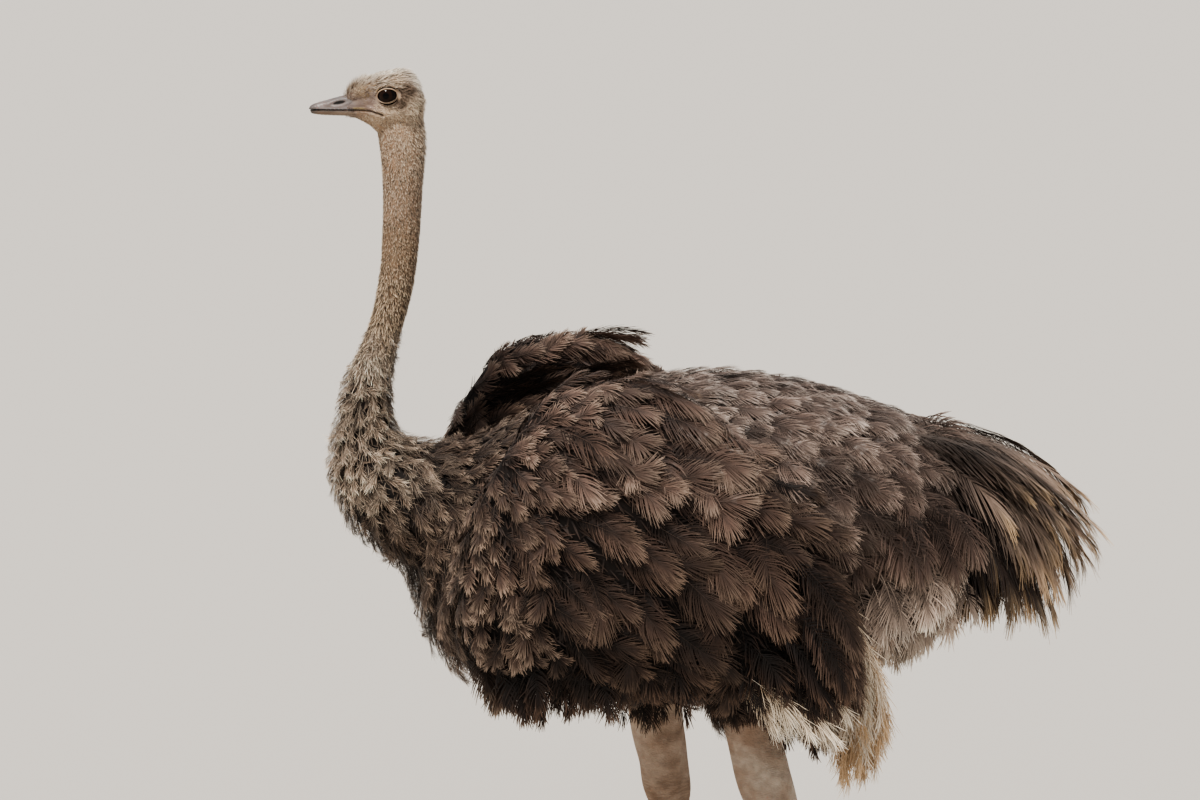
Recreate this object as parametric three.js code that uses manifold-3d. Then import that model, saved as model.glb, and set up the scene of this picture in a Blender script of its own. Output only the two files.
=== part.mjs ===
// A standing female ostrich as a still, life-size model.
// Millimetres, +Z up. The head points to -X and the bird's left side is -Y.
// The origin is on the floor, under the middle of the bird's length and width.
import * as THREE from "three";
import { mergeVertices } from "three/addons/utils/BufferGeometryUtils.js";
import Module from "manifold-3d";

const wasm = await Module();
wasm.setup();

// ---- driving dimensions ----
const gap = 0.3; // between pieces that meet
const legSpread = 122; // from the middle plane to each leg
const eyeRadius = 20;
const eyePlace = { x: -564, y: 22, z: 1817 };
const billTipX = -704;
const billBaseX = -633;
const gapeZ = 1793; // height of the line where the two halves of the bill meet
const gapeCorner = { x: -574, z: 1786 }; // where the mouth ends, under the eye
const nostril = { x: -652, y: 18.5, z: 1805 };
const neckCuts = [1735, 1620, 1500, 1375]; // levels that part the neck into lengths
const breastCutX = -330; // planes that part the feathered body
const rumpCutX = 180;

// The feathered body without its wings, from the breast to the rump.
const trunkStations = [
  { x: -543, top: 1000, bottom: 915, half: 45 },
  { x: -530, top: 1085, bottom: 862, half: 100 },
  { x: -496, top: 1195, bottom: 800, half: 155 },
  { x: -430, top: 1232, bottom: 762, half: 215 },
  { x: -300, top: 1292, bottom: 740, half: 268 },
  { x: -150, top: 1338, bottom: 728, half: 296 },
  { x: 0, top: 1356, bottom: 716, half: 304 },
  { x: 120, top: 1344, bottom: 736, half: 294 },
  { x: 230, top: 1316, bottom: 828, half: 264 },
  { x: 330, top: 1284, bottom: 892, half: 218 },
  { x: 410, top: 1252, bottom: 922, half: 164 },
  { x: 458, top: 1220, bottom: 990, half: 112 },
  { x: 474, top: 1172, bottom: 1060, half: 48 },
];

// The neck between its front edge and its back edge, from the jaw down to the chest.
const neckStations = [
  { front: [-600, 1790], back: [-508, 1800], half: 30 },
  { front: [-586, 1745], back: [-506, 1738], half: 33 },
  { front: [-579, 1650], back: [-511, 1650], half: 33 },
  { front: [-584, 1530], back: [-522, 1530], half: 31 },
  { front: [-598, 1450], back: [-537, 1450], half: 31 },
  { front: [-618, 1388], back: [-552, 1392], half: 35 },
  { front: [-648, 1330], back: [-560, 1338], half: 48 },
  { front: [-672, 1270], back: [-560, 1286], half: 62 },
  { front: [-686, 1195], back: [-553, 1246], half: 78 },
  { front: [-684, 1120], back: [-538, 1228], half: 95 },
  { front: [-655, 1054], back: [-518, 1222], half: 112 },
  { front: [-600, 1000], back: [-490, 1222], half: 130 },
  { front: [-540, 950], back: [-440, 1228], half: 150 },
];

// The head behind the bill, from the bill's root to the nape.
const headStations = [
  { x: -633, top: 1819, bottom: 1779, half: 22 },
  { x: -622, top: 1838, bottom: 1776, half: 27 },
  { x: -600, top: 1850, bottom: 1764, half: 32 },
  { x: -578, top: 1857, bottom: 1748, half: 37 },
  { x: -550, top: 1861, bottom: 1757, half: 38 },
  { x: -525, top: 1859, bottom: 1752, half: 35 },
  { x: -508, top: 1846, bottom: 1760, half: 28 },
  { x: -499, top: 1825, bottom: 1785, half: 15 },
];

// A wing as level slices, from its raised shoulder down to the tips that hang.
const wingStations = [
  { z: 1382, front: -240, rear: -130, inner: 210, outer: 258 },
  { z: 1366, front: -288, rear: -62, inner: 196, outer: 296 },
  { z: 1325, front: -332, rear: -5, inner: 186, outer: 328 },
  { z: 1250, front: -378, rear: 58, inner: 180, outer: 350 },
  { z: 1150, front: -430, rear: 132, inner: 180, outer: 367 },
  { z: 1050, front: -462, rear: 192, inner: 180, outer: 376 },
  { z: 950, front: -472, rear: 230, inner: 180, outer: 374 },
  { z: 870, front: -458, rear: 246, inner: 190, outer: 360 },
  { z: 815, front: -415, rear: 240, inner: 210, outer: 340 },
  { z: 793, front: -350, rear: 200, inner: 245, outer: 318 },
];

const shoulderLean = { left: 0, right: 95 }; // how far forward a wing is carried at its top
const leanLevels = [780, 1250]; // the lean grows between these

// A leg from inside the body to the toes. deep is fore and aft, wide is across.
const legStations = [
  { down: 930, deep: 88, wide: 66 },
  { down: 820, deep: 72, wide: 56 },
  { down: 700, deep: 50, wide: 43 },
  { down: 600, deep: 49, wide: 39 },
  { down: 530, deep: 45, wide: 34 },
  { down: 486, deep: 37, wide: 33 },
  { down: 442, deep: 42, wide: 38 },
  { down: 405, deep: 35, wide: 31 },
  { down: 340, deep: 26, wide: 23 },
  { down: 210, deep: 24, wide: 21 },
  { down: 125, deep: 27, wide: 25 },
  { down: 78, deep: 33, wide: 31 },
  { down: 46, deep: 30, wide: 30 },
];
const hockLevels = [490, 392]; // the hock joint lies between these
const footLevel = 100; // the toes start here
const bigToeLength = 165; // from the ankle to the toe's end, without the claw
const bigToeTurn = -0.05; // radians away from straight ahead, outwards
const smallToeLength = 118;
const smallToeTurn = 0.42;
const smallToeOffset = 16; // outwards from the ankle
const claw = { length: 34, half: 9.5, height: 16 };
// Where each leg stands: its hip, hock and foot, fore and aft.
const stances = {
  left: { side: -1, hip: 9, hock: 138, foot: 70 },
  right: { side: 1, hip: -132, hock: -66, foot: -100 },
};

// Plumes that stand proud of the forms, as leaves with a rounded end.
// A row runs from its first plume to its last, and every second one hangs `stagger` shorter.
const hangingRow = {
  count: 7,
  x: [-398, 150],
  sweep: [30, 95],
  outer: 322,
  bulge: 30,
  rootZ: 1010,
  bendZ: 900,
  tipZ: [806, 772],
  stagger: 12,
  width: 122,
  thickness: 34,
};
const trailingRow = {
  count: 4,
  tipX: [112, 262],
  tipY: [318, 296],
  tipZ: [1170, 850],
  root: { back: 205, y: 300, rise: 150 },
  bend: { back: 60, y: 350, rise: 110 },
  width: 118,
  thickness: 30,
};
const ridgeRow = {
  count: 2,
  root: { x: [-250, -200], y: [228, 244], z: [1348, 1332] },
  bend: { x: [-160, -114], y: [236, 262], z: [1388, 1362] },
  tip: { x: [-58, 0], y: [238, 278], z: [1338, 1276] },
  width: 72,
  thickness: 24,
};
const flightRow = {
  count: 5,
  x: [66, 248],
  root: { back: 70, y: 262, z: 960 },
  bend: { y: 286, z: 860 },
  tip: { y: 238, z: 742, drop: 68 },
  stagger: 14,
  width: 88,
  thickness: 26,
};
const tailLayers = [
  { count: 6, spread: 60, reach: 258, top: 1208, tip: 962, width: 112, fall: 14 },
  { count: 4, spread: 70, reach: 186, top: 1160, tip: 940, width: 124, fall: 6 },
  { count: 3, spread: 50, reach: 92, top: 1105, tip: 940, width: 124, fall: 6 },
];
const tailRoot = { x: 418, half: 46, thickness: 38 };

// ---- shapes ----
const mix = ([from, to], t) => THREE.MathUtils.lerp(from, to, t);
const powOf = (value, power) => Math.sign(value) * Math.abs(value) ** power;

// One value of a row of stations, read smoothly at t from 0 to 1.
function along(stations, read, t) {
  const place = t * (stations.length - 1);
  const i = Math.min(Math.floor(place), stations.length - 2);
  const pick = (k) => read(stations[THREE.MathUtils.clamp(k, 0, stations.length - 1)]);
  return THREE.MathUtils.clamp(
    catmull(pick(i - 1), pick(i), pick(i + 1), pick(i + 2), place - i),
    Math.min(pick(i), pick(i + 1)) - Math.abs(pick(i + 1) - pick(i)) * 0.1,
    Math.max(pick(i), pick(i + 1)) + Math.abs(pick(i + 1) - pick(i)) * 0.1,
  );
}

function catmull(before, a, b, after, t) {
  const start = (b - before) / 2;
  const end = (after - a) / 2;
  return (
    (2 * t ** 3 - 3 * t ** 2 + 1) * a +
    (t ** 3 - 2 * t ** 2 + t) * start +
    (3 * t ** 2 - 2 * t ** 3) * b +
    (t ** 3 - t ** 2) * end
  );
}

// A ring of points: an ellipse, squarer as squareness rises above 2.
function ring(centre, across, up, half, above, below, sides, squareness = 2.2) {
  return Array.from({ length: sides }, (_, s) => {
    const angle = ((s + 0.5) / sides) * Math.PI * 2;
    const sideways = powOf(Math.cos(angle), 2 / squareness) * half;
    const rise = powOf(Math.sin(angle), 2 / squareness);
    return centre
      .clone()
      .addScaledVector(across, sideways)
      .addScaledVector(up, rise * (rise > 0 ? above : below));
  });
}

// A closed solid through a row of rings, with a low cone on each end.
function loft(rings) {
  const sides = rings[0].length;
  const middle = (points) =>
    points.reduce((sum, p) => sum.add(p), new THREE.Vector3()).divideScalar(sides);
  const points = [...rings.flat(), middle(rings[0]), middle(rings.at(-1))];
  const last = (rings.length - 1) * sides;
  const faces = [];
  for (let s = 0; s < sides; s++) {
    const next = (s + 1) % sides;
    for (let r = 0; r < last; r += sides) {
      faces.push(r + s, r + next, r + sides + next, r + s, r + sides + next, r + sides + s);
    }
    faces.push(points.length - 2, next, s, points.length - 1, last + s, last + next);
  }
  const geometry = new THREE.BufferGeometry().setFromPoints(points);
  return geometry.setIndex(faces);
}

function solidOf(geometry) {
  const bare = geometry.clone();
  bare.deleteAttribute("normal");
  bare.deleteAttribute("uv");
  const merged = mergeVertices(bare, 1e-3);
  const triVerts = new Uint32Array(merged.index.array);
  const vertProperties = merged.attributes.position.array;
  const made = new wasm.Manifold(new wasm.Mesh({ numProp: 3, vertProperties, triVerts }));
  if (made.volume() > 0) return made;
  for (let i = 0; i < triVerts.length; i += 3) {
    [triVerts[i + 1], triVerts[i + 2]] = [triVerts[i + 2], triVerts[i + 1]];
  }
  return new wasm.Manifold(new wasm.Mesh({ numProp: 3, vertProperties, triVerts }));
}

const joined = (solids) => solids.reduce((whole, next) => whole.add(next));

// The part of a solid on the far side of a plane: its normal and its distance along it.
const above = (solid, normal, level) => solid.trimByPlane(normal, level + gap / 2);
const below = (solid, normal, level) =>
  solid.trimByPlane(normal.map((n) => -n), -level + gap / 2);

// A single plume: a flat leaf along a curve that leaves `from`, bends at `bend` and ends at `to`.
function plume(from, bend, to, outward, width, thickness, grow = 0) {
  const sections = 3;
  const sides = 6;
  const curve = new THREE.QuadraticBezierCurve3(
    new THREE.Vector3(...from),
    new THREE.Vector3(...bend),
    new THREE.Vector3(...to),
  );
  const rings = [];
  for (let k = 0; k <= sections; k++) {
    const t = 0.02 + (0.98 * k) / sections;
    const forward = curve.getTangent(t);
    const across = new THREE.Vector3(...outward).cross(forward).normalize();
    const up = new THREE.Vector3().crossVectors(across, forward);
    const swell = Math.sin(Math.PI * (0.2 + 0.72 * t)) ** 0.55;
    const thick = (thickness / 2) * (0.35 + 0.65 * swell) + grow;
    const half = (width / 2) * swell + grow;
    rings.push(ring(curve.getPoint(t), across, up, half, thick, thick, sides, 2));
  }
  return solidOf(loft(rings));
}

// ---- the body ----
function trunkSolid(grow) {
  const rings = [];
  const count = 16;
  for (let k = 0; k <= count; k++) {
    const t = k / count;
    const x = along(trunkStations, (s) => s.x, t) + (k === 0 ? -grow : k === count ? grow : 0);
    const top = along(trunkStations, (s) => s.top, t) + grow;
    const bottom = along(trunkStations, (s) => s.bottom, t) - grow;
    const half = along(trunkStations, (s) => s.half, t) + grow;
    const middle = (top + bottom) / 2;
    rings.push(
      ring(
        new THREE.Vector3(x, 0, middle),
        new THREE.Vector3(0, 1, 0),
        new THREE.Vector3(0, 0, 1),
        half,
        top - middle,
        middle - bottom,
        20,
      ),
    );
  }
  return solidOf(loft(rings));
}

function neckSolid() {
  const rings = [];
  const count = 20;
  for (let k = 0; k <= count; k++) {
    const read = (key, i) => along(neckStations, (s) => s[key][i], k / count);
    const front = new THREE.Vector3(read("front", 0), 0, read("front", 1));
    const back = new THREE.Vector3(read("back", 0), 0, read("back", 1));
    const deep = front.distanceTo(back) / 2;
    rings.push(
      ring(
        front.clone().lerp(back, 0.5),
        new THREE.Vector3(0, 1, 0),
        front.clone().sub(back).normalize(),
        along(neckStations, (s) => s.half, k / count),
        deep,
        deep,
        14,
        2.05,
      ),
    );
  }
  return solidOf(loft(rings));
}

function headSolid() {
  const rings = [];
  const count = 11;
  for (let k = 0; k <= count; k++) {
    const read = (key) => along(headStations, (s) => s[key], k / count);
    const middle = THREE.MathUtils.lerp(read("bottom"), read("top"), 0.5);
    rings.push(
      ring(
        new THREE.Vector3(read("x"), 0, middle),
        new THREE.Vector3(0, 1, 0),
        new THREE.Vector3(0, 0, 1),
        read("half"),
        read("top") - middle,
        middle - read("bottom"),
        14,
        2.3,
      ),
    );
  }
  return solidOf(loft(rings));
}

function eyeSolid(side, radius) {
  const ball = new THREE.SphereGeometry(radius, 12, 8);
  ball.translate(eyePlace.x, side * eyePlace.y, eyePlace.z);
  return solidOf(ball);
}

// The slit of the mouth, which runs back under the eye.
function gapeSlit() {
  const start = billBaseX - 2;
  const bend = -598;
  const open = 1.6;
  const slit = new THREE.Shape();
  slit.moveTo(start, gapeZ - open);
  slit.quadraticCurveTo(bend, gapeZ - open, gapeCorner.x, gapeCorner.z);
  slit.quadraticCurveTo(bend, gapeZ + open * 2, start, gapeZ + open);
  const depth = 90;
  const cut = new THREE.ExtrudeGeometry(slit, { depth, bevelEnabled: false, curveSegments: 3 });
  cut.rotateX(Math.PI / 2);
  cut.translate(0, depth / 2, 0);
  return solidOf(cut);
}

// One half of the bill: low and broad, with a rounded tip.
function billSolid(stations) {
  const rings = [];
  const count = 7;
  for (let k = 0; k <= count; k++) {
    const read = (key) => along(stations, (s) => s[key], k / count);
    rings.push(
      ring(
        new THREE.Vector3(read("x"), 0, gapeZ),
        new THREE.Vector3(0, 1, 0),
        new THREE.Vector3(0, 0, 1),
        read("half"),
        read("above"),
        read("below"),
        14,
        2.4,
      ),
    );
  }
  return solidOf(loft(rings));
}

function upperBill() {
  const stations = [
    { x: billTipX, half: 7, above: 3, below: 3 },
    { x: -700, half: 12.5, above: 7, below: 3 },
    { x: -686, half: 16, above: 12.5, below: 3 },
    { x: -665, half: 18.5, above: 18.5, below: 3 },
    { x: -646, half: 21, above: 23, below: 3 },
    { x: billBaseX - gap, half: 22.5, above: 26, below: 3 },
  ];
  const nostrils = [-1, 1].map((side) => {
    const pocket = new THREE.SphereGeometry(1, 8, 5);
    pocket.scale(10, 4, 3);
    pocket.rotateY(0.18);
    pocket.translate(nostril.x, side * nostril.y, nostril.z);
    return solidOf(pocket);
  });
  const upper = billSolid(stations).subtract(joined(nostrils));
  return above(upper, [0, 0, 1], gapeZ);
}

function lowerBill() {
  const stations = [
    { x: billTipX + 2, half: 6, above: 2, below: 3 },
    { x: -698, half: 11.5, above: 2, below: 7 },
    { x: -684, half: 15, above: 2, below: 9 },
    { x: -663, half: 17.5, above: 2, below: 10 },
    { x: billBaseX - gap, half: 21.5, above: 2, below: 11 },
  ];
  return below(billSolid(stations), [0, 0, 1], gapeZ);
}

// ---- wings ----
const leanAt = (lean, z) => lean * THREE.MathUtils.smoothstep(z, ...leanLevels);

function wingForm(side, lean, grow) {
  const rings = [];
  const count = 12;
  for (let k = 0; k <= count; k++) {
    const read = (key) => along(wingStations, (s) => s[key], k / count);
    const centre = new THREE.Vector3(
      (read("front") + read("rear")) / 2 - leanAt(lean, read("z")),
      (side * (read("inner") + read("outer"))) / 2,
      read("z"),
    );
    const half = (read("rear") - read("front")) / 2 + grow;
    const thick = (read("outer") - read("inner")) / 2 + grow;
    const across = new THREE.Vector3(1, 0, 0);
    rings.push(ring(centre, across, new THREE.Vector3(0, 1, 0), half, thick, thick, 14, 2.3));
  }
  return solidOf(loft(rings));
}

// The long dark plumes on a wing: hanging ones below, trailing ones behind, two on the ridge.
function wingPlumes(side, lean, grow) {
  const carry = (x, y, z) => [x - leanAt(lean, z), side * y, z];
  const plumes = [];
  for (let k = 0; k < hangingRow.count; k++) {
    const row = hangingRow;
    const t = k / (row.count - 1);
    const x = mix(row.x, t);
    const outer = row.outer + row.bulge * Math.sin(Math.PI * t);
    const sweep = mix(row.sweep, t);
    const tip = mix(row.tipZ, t) + (k % 2) * row.stagger;
    const root = carry(x - sweep, outer, row.rootZ);
    const bend = carry(x - sweep * 0.3, outer + 22, row.bendZ);
    const end = carry(x + sweep * 0.3, outer - 26, tip);
    plumes.push(plume(root, bend, end, [0, side, 0], row.width, row.thickness, grow));
  }
  for (let k = 0; k < trailingRow.count; k++) {
    const row = trailingRow;
    const t = k / (row.count - 1);
    const x = mix(row.tipX, t ** 0.7);
    const z = mix(row.tipZ, t);
    const root = carry(x - row.root.back, row.root.y, z + row.root.rise);
    const bend = carry(x - row.bend.back, row.bend.y, z + row.bend.rise);
    const end = carry(x, mix(row.tipY, t), z);
    plumes.push(plume(root, bend, end, [0, side, 0.2], row.width, row.thickness, grow));
  }
  for (let k = 0; k < ridgeRow.count; k++) {
    const t = k / (ridgeRow.count - 1);
    const [root, bend, end] = [ridgeRow.root, ridgeRow.bend, ridgeRow.tip].map((at) =>
      carry(mix(at.x, t), mix(at.y, t), mix(at.z, t)),
    );
    plumes.push(
      plume(root, bend, end, [0, side * 0.5, 1], ridgeRow.width, ridgeRow.thickness, grow),
    );
  }
  return joined(plumes);
}

// The pale flight plumes that show below and behind the dark ones.
function flightPlumes(side) {
  const row = flightRow;
  const plumes = [];
  for (let k = 0; k < row.count; k++) {
    const t = k / (row.count - 1);
    const x = mix(row.x, t);
    const drop = row.tip.drop * Math.sin(Math.PI * (0.15 + 0.6 * t));
    const root = [x - row.root.back, side * row.root.y, row.root.z];
    const bend = [x, side * row.bend.y, row.bend.z];
    const end = [x, side * row.tip.y, row.tip.z - drop + (k % 2) * row.stagger];
    plumes.push(plume(root, bend, end, [0, side, 0], row.width, row.thickness));
  }
  return joined(plumes);
}

// ---- tail ----
// A fan of plumes that leave the rump level and droop, in three layers.
function tailSolid() {
  const plumes = [];
  for (const layer of tailLayers) {
    for (let k = 0; k < layer.count; k++) {
      const turn = (k / (layer.count - 1)) * 2 - 1;
      const edge = Math.abs(turn);
      const yaw = THREE.MathUtils.degToRad(turn * layer.spread);
      const reach = layer.reach * (1 - 0.12 * edge) - (k % 2) * 10;
      const x = 442 + reach * Math.cos(yaw);
      const y = 28 * turn + reach * 0.62 * Math.sin(yaw);
      const root = [tailRoot.x, tailRoot.half * turn, layer.top - 22 * edge];
      const bend = [x, y, layer.top + 8 - 34 * edge];
      const tip = [x, y, layer.tip - layer.fall * edge + (k % 2) * 14];
      const outward = [Math.cos(yaw), Math.sin(yaw), 0.6];
      plumes.push(plume(root, bend, tip, outward, layer.width, tailRoot.thickness));
    }
  }
  return joined(plumes);
}

// ---- legs ----
function legSolid(stance, grow) {
  const rings = [];
  const count = 20;
  const y = stance.side * legSpread;
  for (let k = 0; k <= count; k++) {
    const read = (key) => along(legStations, (s) => s[key], k / count);
    const z = read("down");
    rings.push(
      ring(
        new THREE.Vector3(legX(stance, z), y, z),
        new THREE.Vector3(0, 1, 0),
        new THREE.Vector3(1, 0, 0),
        read("wide") + grow,
        read("deep") + grow,
        read("deep") + grow,
        12,
        2.1,
      ),
    );
  }
  return solidOf(loft(rings));
}

// The leg's line, fore and aft: hip to hock, a soft bend, then hock to foot.
function legX(stance, z) {
  const hockZ = 442;
  const soft = 55;
  const upper = (stance.hock - stance.hip) / (930 - hockZ);
  const lower = (stance.hock - stance.foot) / (hockZ - 60);
  const above = stance.hock - upper * (z - hockZ);
  const under = stance.hock - lower * (hockZ - z);
  const share = THREE.MathUtils.smoothstep(z, hockZ - soft, hockZ + soft);
  return THREE.MathUtils.lerp(under, above, share);
}

// A toe along the floor: full pads, flat underneath.
function toeSolid(root, turn, length, stations, grow) {
  const rings = [];
  const count = 8;
  const direction = new THREE.Vector3(-Math.cos(turn), Math.sin(turn), 0);
  const across = new THREE.Vector3(Math.sin(turn), Math.cos(turn), 0);
  for (let k = 0; k <= count; k++) {
    const read = (key) => along(stations, (s) => s[key], k / count);
    const centre = root.clone().addScaledVector(direction, read("at") * length);
    centre.z = read("z");
    const half = read("half") + grow;
    const tall = read("tall") + grow;
    rings.push(ring(centre, across, new THREE.Vector3(0, 0, 1), half, tall, read("z") + 4, 10));
  }
  const floor = new THREE.BoxGeometry(900, 900, 100);
  floor.translate(0, 0, -50);
  return solidOf(loft(rings)).subtract(solidOf(floor));
}

// The claw at the end of a toe. grow swells it to cut the pocket it sits in.
function clawSolid(root, turn, reach, grow) {
  const direction = new THREE.Vector3(-Math.cos(turn), Math.sin(turn), 0);
  const across = new THREE.Vector3(Math.sin(turn), Math.cos(turn), 0);
  const rings = [];
  const count = 4;
  for (let k = 0; k <= count; k++) {
    const t = k / count;
    const centre = root.clone().addScaledVector(direction, reach - 10 + (claw.length + grow) * t - grow);
    centre.z = claw.height - 6 * t * t;
    const size = claw.half * Math.sqrt(1 - 0.93 * t ** 1.6) + grow;
    rings.push(ring(centre, across, new THREE.Vector3(0, 0, 1), size, size * 0.8, size * 0.55, 8));
  }
  return solidOf(loft(rings));
}

const bigToe = [
  { at: -0.2, half: 20, z: 24, tall: 22 },
  { at: -0.1, half: 31, z: 30, tall: 38 },
  { at: 0.06, half: 35, z: 34, tall: 44 },
  { at: 0.25, half: 30, z: 28, tall: 28 },
  { at: 0.42, half: 30, z: 22, tall: 22 },
  { at: 0.6, half: 28, z: 20, tall: 18 },
  { at: 0.78, half: 26, z: 18, tall: 16 },
  { at: 0.92, half: 21, z: 15, tall: 13 },
  { at: 1, half: 10, z: 12, tall: 7 },
];
const smallToe = [
  { at: 0.1, half: 15, z: 20, tall: 14 },
  { at: 0.3, half: 20, z: 20, tall: 18 },
  { at: 0.55, half: 19, z: 17, tall: 15 },
  { at: 0.8, half: 17, z: 15, tall: 13 },
  { at: 1, half: 8, z: 10, tall: 6 },
];

// ---- colours ----
const finishes = {
  plumage: { color: 0x4a3d35, roughness: 0.95, metalness: 0 },
  palePlume: { color: 0xc2a888, roughness: 0.95, metalness: 0 },
  neckSkin: { color: 0x8d7c6a, roughness: 0.9, metalness: 0 },
  legSkin: { color: 0x8b7764, roughness: 0.75, metalness: 0 },
  bill: { color: 0x76695e, roughness: 0.5, metalness: 0 },
  eye: { color: 0x120b08, roughness: 0.08, metalness: 0 },
  claw: { color: 0x2e2822, roughness: 0.5, metalness: 0 },
};
const materials = Object.fromEntries(
  Object.entries(finishes).map(([name, look]) => [name, new THREE.MeshStandardMaterial(look)]),
);

const ostrich = new THREE.Group();

function place(name, solid, finish) {
  const largest = solid.decompose().sort((a, b) => b.volume() - a.volume())[0];
  const mesh = largest.simplify(gap / 4).getMesh();
  const geometry = new THREE.BufferGeometry();
  geometry.setAttribute("position", new THREE.BufferAttribute(mesh.vertProperties, 3));
  geometry.setIndex(new THREE.BufferAttribute(mesh.triVerts, 1));
  geometry.computeVertexNormals();
  const made = new THREE.Mesh(geometry, materials[finish]);
  made.name = name;
  ostrich.add(made);
}

function placeBody() {
  const trunk = trunkSolid(0);
  place("breast", below(trunk, [1, 0, 0], breastCutX), "plumage");
  place("trunk", below(above(trunk, [1, 0, 0], breastCutX), [1, 0, 0], rumpCutX), "plumage");
  place("rump", above(trunk, [1, 0, 0], rumpCutX), "plumage");
  place("tail", tailSolid().subtract(trunkSolid(gap)), "plumage");
}

function placeHeadAndNeck() {
  const whole = headSolid().add(neckSolid()).subtract(trunkSolid(gap));
  const up = [0, 0, 1];
  const sockets = joined([-1, 1].map((side) => eyeSolid(side, eyeRadius + gap)));
  place("head", above(whole, up, neckCuts[0]).subtract(sockets).subtract(gapeSlit()), "neckSkin");
  for (let k = 1; k < neckCuts.length; k++) {
    const length = below(above(whole, up, neckCuts[k]), up, neckCuts[k - 1]);
    place(`neck_${k}`, length, "neckSkin");
  }
  place("neck_base", below(whole, up, neckCuts.at(-1)), "plumage");
  place("bill_upper", upperBill(), "bill");
  place("bill_lower", lowerBill(), "bill");
  for (const [name, side] of [["left", -1], ["right", 1]]) {
    place(`eye_${name}`, eyeSolid(side, eyeRadius), "eye");
  }
}

function placeWing(name, side) {
  const core = trunkSolid(gap);
  const lean = shoulderLean[name];
  const wing = (grow) => wingForm(side, lean, grow).add(wingPlumes(side, lean, grow));
  place(`wing_${name}`, wing(0).subtract(core), "plumage");
  place(`flight_plumes_${name}`, flightPlumes(side).subtract(core.add(wing(gap))), "palePlume");
}

function placeLeg(name, stance) {
  const up = [0, 0, 1];
  const leg = legSolid(stance, 0).subtract(trunkSolid(gap));
  place(`shank_${name}`, above(leg, up, hockLevels[0]), "legSkin");
  place(`hock_${name}`, below(above(leg, up, hockLevels[1]), up, hockLevels[0]), "legSkin");
  place(`tarsus_${name}`, below(above(leg, up, footLevel), up, hockLevels[1]), "legSkin");

  const ankle = new THREE.Vector3(stance.foot, stance.side * legSpread, 0);
  const bigTurn = bigToeTurn * stance.side;
  const foot = (grow) =>
    below(legSolid(stance, grow), up, footLevel).add(
      toeSolid(ankle, bigTurn, bigToeLength, bigToe, grow),
    );
  const pocket = clawSolid(ankle, bigTurn, bigToeLength, gap);
  place(`toe_inner_${name}`, foot(0).subtract(pocket), "legSkin");
  place(`claw_${name}`, clawSolid(ankle, bigTurn, bigToeLength, 0), "claw");

  const root = ankle.clone().add(new THREE.Vector3(0, stance.side * smallToeOffset, 0));
  const small = toeSolid(root, smallToeTurn * stance.side, smallToeLength, smallToe, 0);
  place(`toe_outer_${name}`, small.subtract(foot(gap)), "legSkin");
}

placeBody();
placeHeadAndNeck();
placeWing("left", -1);
placeWing("right", 1);
for (const [name, stance] of Object.entries(stances)) placeLeg(name, stance);

export default ostrich;
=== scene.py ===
import math

import bpy
import numpy as np
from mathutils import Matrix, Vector
from mathutils.bvhtree import BVHTree


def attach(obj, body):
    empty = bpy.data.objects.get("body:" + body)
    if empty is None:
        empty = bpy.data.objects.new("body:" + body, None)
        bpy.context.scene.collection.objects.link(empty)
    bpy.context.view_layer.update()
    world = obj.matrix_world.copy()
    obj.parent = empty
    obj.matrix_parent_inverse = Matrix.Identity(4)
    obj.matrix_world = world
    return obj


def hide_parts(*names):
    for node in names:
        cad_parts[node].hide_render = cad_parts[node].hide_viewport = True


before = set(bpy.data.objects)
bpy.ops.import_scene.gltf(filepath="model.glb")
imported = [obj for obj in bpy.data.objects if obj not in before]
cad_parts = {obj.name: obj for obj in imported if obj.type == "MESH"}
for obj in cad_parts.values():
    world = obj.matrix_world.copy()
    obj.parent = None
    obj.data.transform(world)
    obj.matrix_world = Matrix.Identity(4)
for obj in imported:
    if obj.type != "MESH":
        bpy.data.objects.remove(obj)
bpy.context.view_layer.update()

up = np.array([0.0, 0.0, 1.0])


def unit(v):
    v = np.asarray(v, float)
    return v / np.maximum(np.linalg.norm(v, axis=-1, keepdims=True), 1e-9)


def smooth(low, high, x):
    t = np.clip((np.asarray(x, float) - low) / (high - low), 0, 1)
    return t * t * (3 - 2 * t)


def mix(a, b, t):
    return a + (b - a) * t


def splineThrough(values, count):
    # a smooth run of `count` values through a few given ones
    values = np.asarray(values, float)
    place = np.linspace(0, len(values) - 1, count)
    i = np.clip(place.astype(int), 0, len(values) - 2)
    f = (place - i).reshape((-1,) + (1,) * (values.ndim - 1))
    padded = np.concatenate([values[:1], values, values[-1:]])
    a, b, c, d = padded[i], padded[i + 1], padded[i + 2], padded[i + 3]
    square, cube = 2 * a - 5 * b + 4 * c - d, 3 * b - a - 3 * c + d
    return 0.5 * (2 * b + (c - a) * f + square * f**2 + cube * f**3)


def newThing(name, data):
    thing = bpy.data.objects.new(name, data)
    bpy.context.scene.collection.objects.link(thing)
    return thing


def meshFrom(name, points, faces):
    mesh = bpy.data.meshes.new(name)
    mesh.from_pydata(np.asarray(points, float).tolist(), [], [list(f) for f in faces])
    mesh.update()
    return newThing(name, mesh)


def pointsOf(mesh, kind="co"):
    points = np.empty(len(mesh.vertices) * 3)
    mesh.vertices.foreach_get(kind, points)
    return points.reshape(-1, 3)


def normalsOf(mesh):
    return pointsOf(mesh, "normal")


def setLayer(mesh, label, kind, key, values):
    # a value for each point, under a name that the trees and materials read
    layer = mesh.attributes.new(label, kind, "POINT")
    layer.data.foreach_set(key, values.reshape(-1).astype("f"))


def setTone(mesh, label, color):
    setLayer(mesh, label, "FLOAT_COLOR", "color", np.concatenate([color, np.ones((len(color), 1))], 1))


def bothSides(points):
    # the same places with the right side laid over the left
    return np.stack([points[:, 0], np.abs(points[:, 1]), points[:, 2]], 1)


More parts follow.
